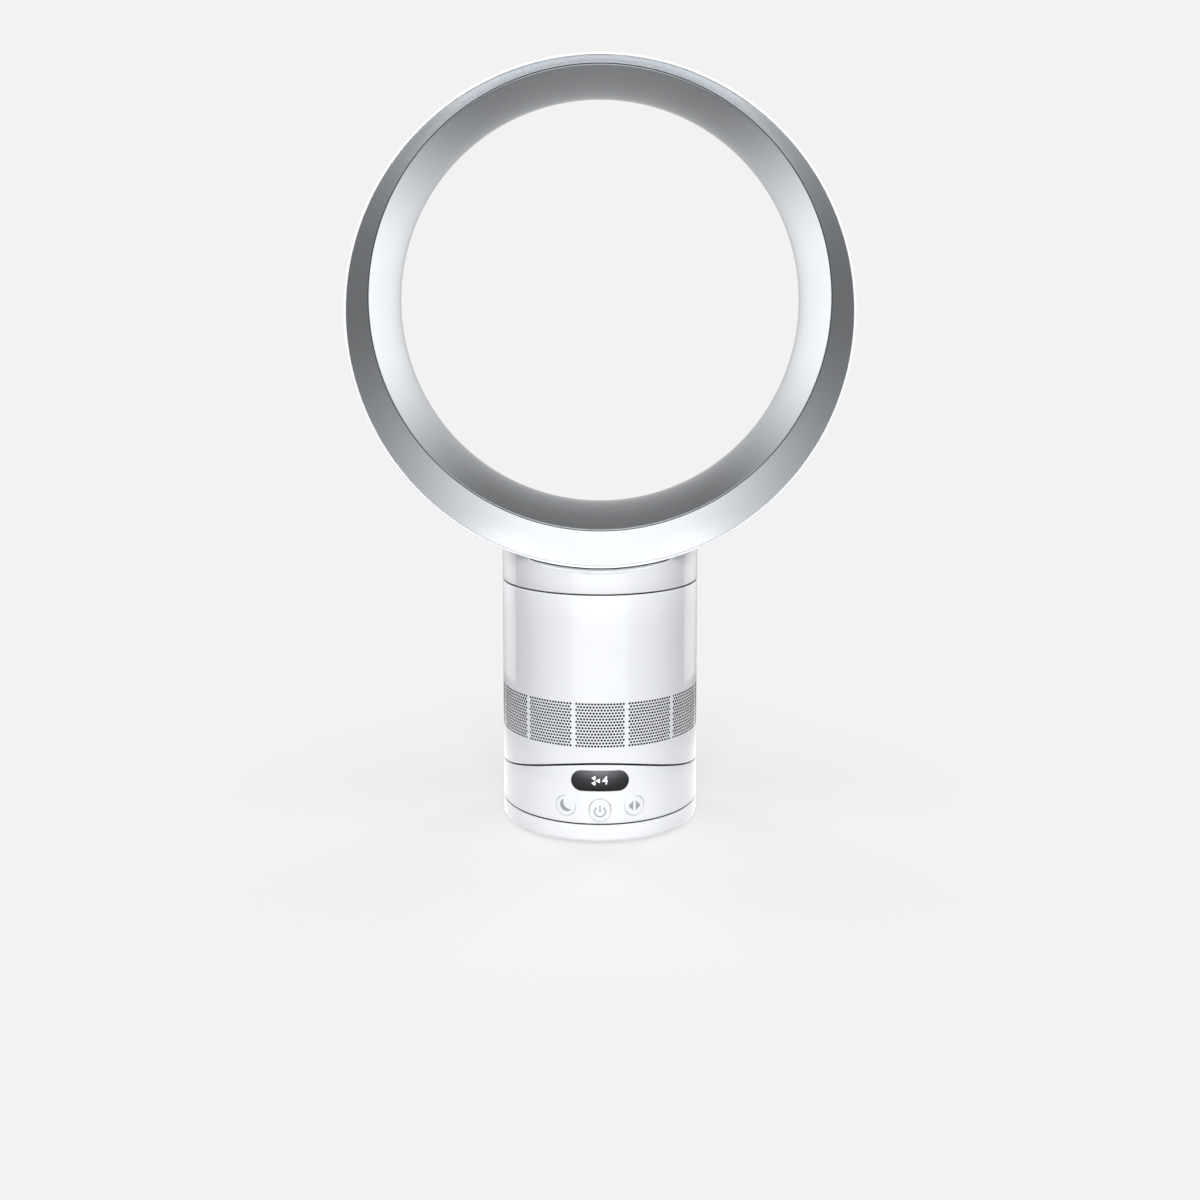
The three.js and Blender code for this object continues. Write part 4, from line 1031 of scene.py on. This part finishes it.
class FAN_OT_casing(bpy.types.Operator):
    """Motor casing: a sheet with every intake hole, wrapped round the body and given its wall"""

    bl_idname = "fan.casing"
    bl_label = "Motor casing"

    def execute(self, context):
        body, intake = context.scene.fan_body, context.scene.fan_intake
        r, wall, edge = body.radius, body.wall, body.edge
        width, height = intake.pitch * r, intake.row_pitch
        sector = 2 * math.pi * r / intake.panels
        half_panel = intake.columns * width / 2
        strip = sector - 2 * half_panel
        first = -half_panel + width / 2

        full = repeated(hole_cell(width, height, intake.hole / 2), intake.columns, (width, 0, 0))
        rows = [repeated(moved(full, first, intake.lowest), intake.full_rows, (0, 0, 2 * height))]
        between = intake.full_rows - 1
        low = intake.lowest + height
        short = repeated(hole_cell(width, height, intake.hole / 2), intake.columns - 1, (width, 0, 0))
        rows.append(repeated(moved(short, first + width / 2, low), between, (0, 0, 2 * height)))
        for side in (-1, 1):
            end = moved(blank_cell(width / 2, height), side * (half_panel - width / 4), low)
            rows.append(repeated(end, between, (0, 0, 2 * height)))
        edge_strip = moved(blank_cell(strip, height), half_panel + strip / 2, intake.lowest)
        rows.append(repeated(edge_strip, intake.full_rows + between, (0, 0, height)))
        sheet = joined(rows)
        band_low = intake.lowest - height / 2
        band_high = band_low + (intake.full_rows + between) * height

        only(sheet)
        bpy.ops.object.mode_set(mode="EDIT")
        bpy.ops.mesh.select_all(action="SELECT")
        bpy.ops.mesh.remove_doubles(threshold=WELD)
        bpy.ops.object.mode_set(mode="OBJECT")
        stops_above = (120 * MM, 140 * MM, 160 * MM, CASING_TOP)
        stops_below = (66 * MM, 62 * MM, CASING_LOW)
        for start, stops in ((band_high, stops_above), (band_low, stops_below)):
            bpy.ops.object.mode_set(mode="EDIT")
            bpy.ops.mesh.select_mode(type="VERT")
            bpy.ops.mesh.select_all(action="DESELECT")
            bpy.ops.object.mode_set(mode="OBJECT")
            for vertex in sheet.data.vertices:
                vertex.select = abs(vertex.co.z - start) < 1e-5
            bpy.ops.object.mode_set(mode="EDIT")
            bpy.ops.mesh.select_mode(type="EDGE")
            at = start
            for stop in stops:
                bpy.ops.mesh.extrude_edges_move(TRANSFORM_OT_translate={"value": (0, 0, stop - at)})
                at = stop
            bpy.ops.object.mode_set(mode="OBJECT")
        repeated(sheet, intake.panels, (sector, 0, 0))
        for vertex in sheet.data.vertices:
            angle = vertex.co.x / r
            vertex.co = Vector((r * math.sin(angle), -r * math.cos(angle), vertex.co.z))
            if abs(vertex.co.z - CASING_LOW) < 1e-6:
                vertex.co.z = saddle_height(vertex.co.y, SADDLE_R - SEAM / 2)
        sheet.data.update()
        face_out(sheet, weld=WELD)
        outward = sum(p.normal.x * p.center.x + p.normal.y * p.center.y for p in sheet.data.polygons)
        modifier = sheet.modifiers.new("Wall", "SOLIDIFY")
        modifier.thickness = wall / 2
        modifier.offset = -1 if outward > 0 else 1
        bpy.ops.object.modifier_apply(modifier=modifier.name)
        self.round_rims(sheet, r, edge)
        white = finish_for("white_gloss")
        finished(sheet, "casing_moulding", white, "fan_head", ["main_casing"])
        # The casing's inside and its hole walls are painted dark grey: painted shade that makes the holes look
        # dark.
        sheet.data.materials.append(painted_shade_lining())
        for polygon in sheet.data.polygons:
            if polygon.center.xy.length < r - 0.3 * MM and band_low < polygon.center.z < band_high:
                polygon.material_index = 1
        return {"FINISHED"}

    def round_rims(self, sheet, radius, size):
        """Rounds the outer edges at the top seam and along the saddle."""
        only(sheet)
        bpy.ops.object.mode_set(mode="EDIT")
        bpy.ops.mesh.select_mode(type="EDGE")
        bpy.ops.mesh.select_all(action="DESELECT")
        bpy.ops.object.mode_set(mode="OBJECT")
        vertices = sheet.data.vertices

        def on_rim(vertex):
            """True for a vertex on the outer edge of the top seam or of the saddle's seam."""
            outside = abs(vertex.co.xy.length - radius) < 1e-5
            top = abs(vertex.co.z - CASING_TOP) < 1e-5
            low = abs(vertex.co.z - saddle_height(vertex.co.y, SADDLE_R - SEAM / 2)) < 1e-5
            return outside and (top or low)

        rims = {vertex.index for vertex in vertices if on_rim(vertex)}
        for edge in sheet.data.edges:
            edge.select = edge.vertices[0] in rims and edge.vertices[1] in rims
        bpy.ops.object.mode_set(mode="EDIT")
        bpy.ops.mesh.bevel(offset=size, segments=3, affect="EDGES")
        bpy.ops.object.mode_set(mode="OBJECT")


class FAN_OT_seam_shade_rings(bpy.types.Operator):
    """Dark rings just inside the swing seam and the top seam: painted shade, so that the seams show as dark
    lines
    """

    bl_idname = "fan.gaskets"
    bl_label = "Seam shade rings"

    def execute(self, context):
        r = context.scene.fan_body.radius
        inner, outer, edge = r - 2.2 * MM, r - 0.5 * MM, 0.15 * MM
        for name, seat, body in (("swing_seam_shade_ring", FOOT_TOP, "foot"), ("top_seam_shade_ring", CASING_TOP, "fan_head")):
            low = seat + 0.1 * MM
            high = low + 0.8 * MM
            profile = [
                (inner, low),
                (outer - edge, low),
                (outer, low + edge),
                (outer, high - edge),
                (outer - edge, high),
                (inner, high),
            ]
            ring = loft("ring", body_loops(profile), 160)
            finished(ring, name, finish_for("rubber"), body)
        return {"FINISHED"}


# ---- Ring nozzle ----


def wall_radius(sizes, y):
    """Radius of the outer wall at a depth: it draws in towards the back along a quarter wave."""
    share = min(max((y - sizes.rim) / (sizes.back - sizes.rim), 0), 1)
    return sizes.ring_radius - 7 * MM * (1 - math.cos(share * math.pi / 2))


def bore_radius(sizes, y):
    """Radius of the bore at a depth: least at the throat, wider towards the crease and towards the slot."""
    if y > sizes.throat:
        return sizes.throat_radius + 4.6 * MM * ((y - sizes.throat) / (sizes.slot - sizes.throat)) ** 2
    share = (sizes.throat - y) / (sizes.throat - sizes.crease)
    return sizes.throat_radius + (sizes.crease_radius - sizes.throat_radius) * share**1.4


def lean_crease(piece, sizes):
    """Brings the crease forward towards the top of the ring, so that the guide faces forward there too."""
    middle = sizes.ring_height + sizes.bore_lift
    for vertex in piece.data.vertices:
        y = vertex.co.y
        raised = 0.5 + 0.5 * (vertex.co.z - middle) / sizes.crease_radius
        if y > sizes.crease:
            near = max(0.0, (sizes.throat - y) / (sizes.throat - sizes.crease)) ** 2
        else:
            near = max(0.0, (y - sizes.rim) / (sizes.crease - sizes.rim))
        vertex.co.y -= sizes.crease_lean * raised * near


def spread(start, end, count):
    """Even steps from start to end."""
    return [start + (end - start) * i / count for i in range(count + 1)]


class FAN_OT_nozzle_casing(bpy.types.Operator):
    """Nozzle's outer wall with the collar below it"""

    bl_idname = "fan.nozzle_casing"
    bl_label = "Nozzle casing"

    def execute(self, context):
        sizes, body = context.scene.fan_nozzle, context.scene.fan_body
        z, lip, wall = sizes.ring_height, 1.7 * MM, 2 * MM
        rim_r = sizes.ring_radius
        edge = 0.4 * MM
        outside = [(wall_radius(sizes, y), y, z) for y in spread(sizes.rim + edge, sizes.back, 14)]
        inside = [(wall_radius(sizes, y) - wall, y, z) for y in spread(sizes.back, -36 * MM, 6)]
        loops = [
            (rim_r - edge * 0.3, sizes.rim + edge * 0.3, z),
            *outside,
            *inside,
            (rim_r - lip, -38 * MM, z),
            (rim_r - lip, sizes.rim + edge * 0.7, z),
            (rim_r - lip + edge * 0.3, sizes.rim + edge * 0.2, z),
            (rim_r - lip / 2, sizes.rim, z),
            (rim_r - edge * 0.3, sizes.rim + edge * 0.3, z),
        ]
        ring = loft("wall", loops, sizes.sides, "Y")
        collar = self.collar(sizes, body)
        carve(ring, collar, "UNION")
        white = finish_for("white_gloss")
        finished(ring, "nozzle_casing_moulding", white, "fan_head", ["nozzle_outer_casing"])
        self.rim_shade_strip(sizes, body)
        return {"FINISHED"}

    def envelope(self, sizes, grow):
        """The round bar that the ring takes out of the collar, grown by an allowance.

        Before the rim the bar is wider, so that the collar's ledge lies a little lower and leaves a gap
        under the rim.
        """
        z, sunk, behind = sizes.ring_height, 0.5 * MM, sizes.rim + 3 * MM
        loops = [
            (sizes.ring_radius + 3.4 * MM, -90 * MM, z),
            (sizes.ring_radius + 0.9 * MM, sizes.rim, z),
            (sizes.ring_radius + 0.9 * MM, behind, z),
        ]
        ys = [behind + 0.01 * MM, *spread(behind + 2 * MM, sizes.back, 12), sizes.back + 0.3 * MM, 150 * MM]
        loops += [(wall_radius(sizes, y) - sunk, y, z) for y in ys]
        loops = [(radius + grow, y, z) for radius, y, z in loops]
        loops.append((0, 150 * MM, z))
        return loft("envelope", loops, sizes.sides, "Y", cap_start=True)

    def collar(self, sizes, body):
        """The round neck below the ring, hollow and open below, with its top cut to the ring's wall."""
        r, wall, edge = body.radius, body.wall, body.edge
        low, high = COLLAR_LOW, 260 * MM
        outside = [(r - wall, low, 0), *[(a, b, 0) for a, b in quarter(r - edge, low + edge, edge, -90, 0, 3)]]
        outside += [(r, level, 0) for level in (190 * MM, 200 * MM, 210 * MM, high)] + [(0, high, 0)]
        shell = loft("collar", outside, body.sides, cap_start=True)
        carve(shell, self.envelope(sizes, 0))
        inner = [(r - wall, low - wall, 0), (r - wall, high, 0), (0, high, 0)]
        hollow = carve(loft("hollow", inner, body.sides, cap_start=True), self.envelope(sizes, wall))
        return carve(shell, hollow)

    def rim_shade_strip(self, sizes, body):
        """A dark strip in the gap between the rim and the collar's ledge: painted shade, so that the gap shows
        as a dark line.
        """
        z, front, back = sizes.ring_height, sizes.rim + 0.6 * MM, sizes.rim + 2.8 * MM
        inner, outer = sizes.ring_radius + 0.02 * MM, sizes.ring_radius + 0.88 * MM
        corners = [(inner, back), (inner, front), (outer, front), (outer, back), (inner, back)]
        strip = loft("strip", [(radius, y, z) for radius, y in corners], sizes.sides, "Y")
        inside = [(body.radius - 1 * MM, 0.19, 0), (body.radius - 1 * MM, 0.26, 0), (0, 0.26, 0)]
        carve(strip, loft("inside", inside, body.sides, cap_start=True), "INTERSECT")
        return finished(strip, "rim_shade_strip", finish_for("rubber"), "fan_head")


class FAN_OT_nozzle_bore(bpy.types.Operator):
    """Silver inner casing of the nozzle, from the air slot to the crease"""

    bl_idname = "fan.nozzle_bore"
    bl_label = "Nozzle bore"

    def execute(self, context):
        sizes = context.scene.fan_nozzle
        z, wall = sizes.ring_height + sizes.bore_lift, 2 * MM
        end = sizes.slot + 3 * MM
        ys = spread(end, sizes.throat, 6) + spread(sizes.throat, sizes.crease + 0.3 * MM, 22)[1:]
        skin = [(bore_radius(sizes, y), y, z) for y in ys]
        crease = [
            (sizes.crease_radius + 0.1 * MM, sizes.crease + 0.05 * MM, z),
            (sizes.crease_radius + wall, sizes.crease, z),
        ]
        back = [(bore_radius(sizes, y) + wall, y, z) for y in spread(sizes.crease + 0.3 * MM, end, 8)]
        loops = [*skin, *crease, *back]
        bore = loft("bore", [*loops, loops[0]], sizes.sides, "Y")
        lean_crease(bore, sizes)
        silver = finish_for("silver_trim")
        finished(bore, "nozzle_bore_moulding", silver, "fan_head", ["nozzle_inner_casing"])
        return {"FINISHED"}


class FAN_OT_front_guide(bpy.types.Operator):
    """Silver guide ring between the bore and the white lip"""

    bl_idname = "fan.front_guide"
    bl_label = "Front guide"

    def execute(self, context):
        sizes = context.scene.fan_nozzle
        outer = sizes.ring_radius - 2 * MM
        inner = sizes.crease_radius + 0.65 * MM
        seat = sizes.crease - 0.5 * MM
        lift, count = sizes.bore_lift, 10
        loops = []
        for share in spread(0, 1, count):
            # The cone bows out by 0.4 mm at its middle, as a moulded ring does.
            bow = 0.4 * MM * math.sin(math.pi * share)
            radius = inner + (outer - inner) * share
            depth = seat + (sizes.rim - 0.3 * MM - seat) * share - bow
            loops.append((radius, depth, sizes.ring_height + lift * (1 - share)))
        rim = sizes.rim - 0.3 * MM
        loops.append((outer, rim + 2 * MM, sizes.ring_height))
        loops.append((sizes.crease_radius + 2 * MM, seat, sizes.ring_height + lift))
        guide = loft("guide", [*loops, loops[0]], sizes.sides, "Y")
        lean_crease(guide, sizes)
        silver = finish_for("silver_trim")
        finished(guide, "front_guide_moulding", silver, "fan_head", ["front_guide_ring"])

        # A dark ring set in the crease: painted shade, so that the crease between bore and guide shows as a
        # dark line.
        line_in, line_out = sizes.crease_radius + 0.05 * MM, sizes.crease_radius + 1.6 * MM
        z, back, front = sizes.ring_height + lift, sizes.crease - 0.05 * MM, sizes.crease - 0.45 * MM
        corners = [(line_in, back), (line_in, front), (line_out, front), (line_out, back), (line_in, back)]
        crease_shade = loft("crease_shade", [(radius, y, z) for radius, y in corners], sizes.sides, "Y")
        lean_crease(crease_shade, sizes)
        finished(crease_shade, "crease_shade_ring", finish_for("rubber"), "fan_head")
        return {"FINISHED"}


class FAN_OT_rear_ring(bpy.types.Operator):
    """White rear ring that carries the wall round to the lip of the air slot"""

    bl_idname = "fan.rear_ring"
    bl_label = "Rear ring"

    def execute(self, context):
        sizes = context.scene.fan_nozzle
        lip = bore_radius(sizes, sizes.slot) - 1.2 * MM
        start = sizes.back + 0.3 * MM
        outside = [
            (172, 32.3, 0), (171.4, 35.2, 0.02), (170, 38.7, 0.05), (168, 42, 0.1), (165, 45.3, 0.24),
            (161, 48.2, 0.4), (159.3, 49.3, 0.6), (157.4, 50, 0.8), (155, 49.4, 0.93), (153.4, 47.3, 1),
            (152.6, 43.6, 1), (152, 39, 1), (151.6, 35, 1),
        ]
        inside = [(152.4, 33.2, 1), (153, 38, 1), (154.4, 45.6, 1), (159.5, 45, 0.4), (170, 32.3, 0)]
        points = [*outside, (lip / MM - 0.9, 33, 1), *inside]
        loops = [(r * MM, y * MM, sizes.ring_height + sizes.bore_lift * up) for r, y, up in points]
        loops[0] = (172 * MM, start, sizes.ring_height)
        rear = loft("rear", [*loops, loops[0]], sizes.sides, "Y")
        white = finish_for("white_gloss")
        finished(rear, "rear_ring_moulding", white, "fan_head", ["rear_casing_ring"])
        return {"FINISHED"}


# ---- Inner parts ----


class FAN_OT_inner_parts(bpy.types.Operator):
    """Finishes for the parts inside, whose shapes are right as they are"""

    bl_idname = "fan.inner_parts"
    bl_label = "Inner parts"

    def execute(self, context):
        slots = {entry["node"]: entry["material_slot"] for entry in frame["record"]["subparts"]}
        low, high, half = 30 * MM, 90 * MM, 30 * MM
        black = smoked_acrylic_painted_reflection(low, high, half)
        for name, node in frame["nodes"].items():
            slot = slots[name]
            material = black if slot == "display_black" else finish_for(slot)
            node.data.materials.clear()
            node.data.materials.append(material)
        return {"FINISHED"}


# ---- Studio ----


def area_lamp(name, place_at, target, size, power):
    """A soft rectangular lamp that faces a target."""
    bpy.ops.object.select_all(action="DESELECT")
    bpy.ops.object.light_add(type="AREA", location=place_at)
    lamp = bpy.context.object
    lamp.name = name
    lamp.data.shape = "RECTANGLE"
    lamp.data.size, lamp.data.size_y = size
    lamp.data.energy = power
    lamp.rotation_euler = (Vector(target) - Vector(place_at)).to_track_quat("-Z", "Y").to_euler()
    lamp.visible_glossy = False


def maths(tree, operation, first, second=0.0):
    """One operation on two values, each a number or another node's output. It returns the result's output."""
    node = add_node(tree, "ShaderNodeMath", {"operation": operation})
    for index, value in enumerate((first, second)):
        if isinstance(value, float):
            node.inputs[index].default_value = value
        else:
            tree.links.new(value, node.inputs[index])
    return node.outputs[0]


class FAN_OT_studio(bpy.types.Operator):
    """Camera, soft lamps, pale floor and backdrop"""

    bl_idname = "fan.studio"
    bl_label = "Studio"

    def execute(self, context):
        studio = context.scene.fan_studio
        context.scene.view_settings.view_transform = "Standard"
        bpy.ops.object.select_all(action="DESELECT")
        bpy.ops.object.camera_add(
            location=(0, -studio.distance, studio.height), rotation=(math.radians(90) - studio.pitch, 0, 0)
        )
        camera = context.object
        camera.data.lens = studio.lens
        camera.data.sensor_width = 36
        camera.data.shift_y = studio.shift
        context.scene.camera = camera

        middle = (0, 0, 0.28)
        area_lamp("front_softbox", (0, -1.9, 0.95), middle, (0.9, 1.6), studio.key)
        for side in (-1, 1):
            area_lamp(f"rear_strip_{side:+d}", (side * 1.25, 1.25, 0.5), middle, (0.5, 1.6), studio.edge)
        area_lamp("overhead_softbox", (0, -0.35, 1.7), (0, -0.1, 0.2), (1.1, 0.7), studio.top)
        self.floor(studio)
        self.world(context.scene, studio)
        return {"FINISHED"}

    def floor(self, studio):
        """A pale disc that takes the fan's shadow and fades into the backdrop's tone at its edge."""
        reach = 0.45
        disc = loft("studio_floor", [(reach, 0, 0), (reach * 0.5, 0, 0), (0.1, 0, 0), (0, 0, 0)], 96)
        face_out(disc)
        for vertex in disc.data.vertices:
            vertex.co.z = -0.0001
        if disc.data.polygons[0].normal.z < 0:
            disc.data.flip_normals()
        material = bpy.data.materials.new("pale_studio_paper")
        material.use_nodes = True
        tree = material.node_tree
        tree.nodes.clear()
        tone = (*studio.backdrop, 1)
        where = add_node(tree, "ShaderNodeTexCoord").outputs["Object"]
        length = add_node(tree, "ShaderNodeVectorMath", {"operation": "LENGTH"}, {0: where}).outputs["Value"]
        fade = {"From Min": 0.12, "From Max": 0.4, "interpolation_type": "SMOOTHSTEP"}
        share = add_node(tree, "ShaderNodeMapRange", fade, {"Value": length})
        rays = add_node(tree, "ShaderNodeLightPath")
        # Reflections see a bright pool of light on the floor round the foot, and less light further out.
        pool = {"From Min": 0.14, "From Max": 0.36, "To Min": 1.95, "To Max": 0.5}
        pool["interpolation_type"] = "SMOOTHSTEP"
        pooled = add_node(tree, "ShaderNodeMapRange", pool, {"Value": length}).outputs["Result"]
        mirrored = maths(tree, "MULTIPLY", rays.outputs["Is Glossy Ray"], pooled)
        direct = maths(tree, "MAXIMUM", rays.outputs["Is Camera Ray"], rays.outputs["Is Transmission Ray"])
        looked_at = maths(tree, "MAXIMUM", mirrored, direct)
        strength = maths(tree, "MULTIPLY", looked_at, 0.66)
        paper = add_node(tree, "ShaderNodeBsdfDiffuse", {"Color": (0.29, 0.29, 0.29, 1)})
        lift = add_node(tree, "ShaderNodeEmission", {"Color": tone}, {"Strength": strength})
        lit = add_node(tree, "ShaderNodeAddShader", None, {0: paper.outputs[0], 1: lift.outputs[0]})
        flat = add_node(tree, "ShaderNodeEmission", {"Color": tone}, {"Strength": looked_at})
        layers = {0: share.outputs["Result"], 1: lit.outputs[0], 2: flat.outputs[0]}
        mixed = add_node(tree, "ShaderNodeMixShader", None, layers)
        # The underside of the floor is clear, so that the foot can be looked at from below.
        clear = add_node(tree, "ShaderNodeBsdfTransparent")
        beneath = add_node(tree, "ShaderNodeNewGeometry").outputs["Backfacing"]
        faces = {0: beneath, 1: mixed.outputs[0], 2: clear.outputs[0]}
        sided = add_node(tree, "ShaderNodeMixShader", None, faces)
        add_node(tree, "ShaderNodeOutputMaterial", None, {"Surface": sided.outputs[0]})
        disc.data.materials.append(material)

    def world(self, scene, studio):
        """A flat page for the camera, an even fill, and softboxes that only reflections see."""
        world = bpy.data.worlds.new("studio_world")
        scene.world = world
        world.use_nodes = True
        tree = world.node_tree
        tree.nodes.clear()
        tone = (*studio.backdrop, 1)
        rays = add_node(tree, "ShaderNodeLightPath")
        direction = add_node(tree, "ShaderNodeTexCoord").outputs["Generated"]

        parts = add_node(tree, "ShaderNodeSeparateXYZ", None, {"Vector": direction})
        side, back, height = parts.outputs["X"], parts.outputs["Y"], parts.outputs["Z"]

        def calc(operation, first, second=0.0):
            """One operation on two values in the world's tree."""
            return maths(tree, operation, first, second)

        def ramp(value, start, end, level=1.0):
            """Rises smoothly from nothing at start to a level at end."""
            settings = {"From Min": start, "From Max": end, "To Max": level}
            settings["interpolation_type"] = "SMOOTHSTEP"
            return add_node(tree, "ShaderNodeMapRange", settings, {"Value": value}).outputs["Result"]

        # Before and above the fan: a softbox in front, light from overhead and from the pale floor.
        slope = calc("ABSOLUTE", height)
        level = calc("SQRT", calc("SUBTRACT", 1.0001, calc("MULTIPLY", height, height)))
        heading = calc("DIVIDE", back, level)
        front = calc("MULTIPLY", ramp(heading, -0.82, -0.86, 0.95), ramp(slope, 0.85, 0.7))
        above = calc("MULTIPLY", calc("POWER", calc("MAXIMUM", height, 0.0), 3.0), 1.65)
        below = calc("POWER", calc("MAXIMUM", calc("MULTIPLY", height, -1.0), 0.0), 3.0)
        above = calc("ADD", above, ramp(height, 0.0, 0.5, 0.08))
        ahead = calc("ADD", calc("ADD", front, 0.2), calc("ADD", above, below))

        # Behind the fan: a level middle that brightens into a softbox on each side and dims above and below.
        off_axis = calc("SQRT", calc("ADD", calc("MULTIPLY", side, side), calc("MULTIPLY", height, height)))
        rise = calc("DIVIDE", slope, calc("MAXIMUM", off_axis, 0.001))
        boxes = calc("SUBTRACT", 1.4, ramp(rise, 0.2, 0.9, 1.22))
        outwards = calc("DIVIDE", calc("SUBTRACT", off_axis, 0.27), 0.425)
        spread_out = calc("MINIMUM", calc("MAXIMUM", outwards, 0.0), 1.0)
        behind = calc("ADD", 0.62, calc("MULTIPLY", spread_out, calc("SUBTRACT", boxes, 0.62)))
        share = ramp(back, 0.43, 0.48)
        before = calc("MULTIPLY", ahead, calc("SUBTRACT", 1.0, share))
        total = calc("ADD", before, calc("MULTIPLY", behind, share))

        boxes_seen = add_node(tree, "ShaderNodeBackground", {"Color": (1, 1, 1, 1)}, {"Strength": total})
        page = add_node(tree, "ShaderNodeBackground", {"Color": tone, "Strength": 1.0})
        even = add_node(tree, "ShaderNodeBackground", {"Color": (1, 1, 1, 1), "Strength": studio.fill})
        seen = calc("MAXIMUM", rays.outputs["Is Camera Ray"], rays.outputs["Is Transmission Ray"])
        plain = add_node(tree, "ShaderNodeMixShader", None, {0: seen, 1: even.outputs[0], 2: page.outputs[0]})
        looks = {0: rays.outputs["Is Glossy Ray"], 1: plain.outputs[0], 2: boxes_seen.outputs[0]}
        mixed = add_node(tree, "ShaderNodeMixShader", None, looks)
        add_node(tree, "ShaderNodeOutputWorld", None, {"Surface": mixed.outputs[0]})


# ---- Panel and registration ----


class FAN_PT_panel(bpy.types.Panel):
    """Lists the fan's sizes and the steps that build it"""

    bl_idname = "FAN_PT_panel"
    bl_label = "Bladeless desk fan"
    bl_space_type = "VIEW_3D"
    bl_region_type = "UI"
    bl_category = "Fan"

    def draw(self, context):
        """Draws a box for each group of settings and a button for each step."""
        for name in GROUPS:
            group = getattr(context.scene, name)
            box = self.layout.box()
            box.label(text=group.__doc__)
            for key in group.__annotations__:
                box.prop(group, key)
        for step in STEPS:
            self.layout.operator(step.bl_idname)


STEPS = (
    FAN_OT_inner_parts,
    FAN_OT_foot,
    FAN_OT_foot_fittings,
    FAN_OT_control_shell,
    FAN_OT_display,
    FAN_OT_buttons,
    FAN_OT_casing,
    FAN_OT_seam_shade_rings,
    FAN_OT_nozzle_casing,
    FAN_OT_nozzle_bore,
    FAN_OT_front_guide,
    FAN_OT_rear_ring,
    FAN_OT_studio,
)
GROUPS = {
    "fan_body": BodySizes,
    "fan_intake": IntakeSizes,
    "fan_controls": ControlSizes,
    "fan_nozzle": NozzleSizes,
    "fan_finish": FinishColours,
    "fan_studio": StudioSettings,
}


def register():
    """Registers the groups, the steps and the panel, and gives the scene its settings."""
    for cls in (*GROUPS.values(), *STEPS, FAN_PT_panel):
        bpy.utils.register_class(cls)
    for name, cls in GROUPS.items():
        setattr(bpy.types.Scene, name, PointerProperty(type=cls))


def unregister():
    """Takes away what register gave."""
    for name in GROUPS:
        delattr(bpy.types.Scene, name)
    for cls in reversed((*GROUPS.values(), *STEPS, FAN_PT_panel)):
        bpy.utils.unregister_class(cls)


def main():
    """Builds the fan step by step."""
    register()
    for step in STEPS:
        group, name = step.bl_idname.split(".")
        getattr(getattr(bpy.ops, group), name)()


if __name__ == "__main__":
    main()
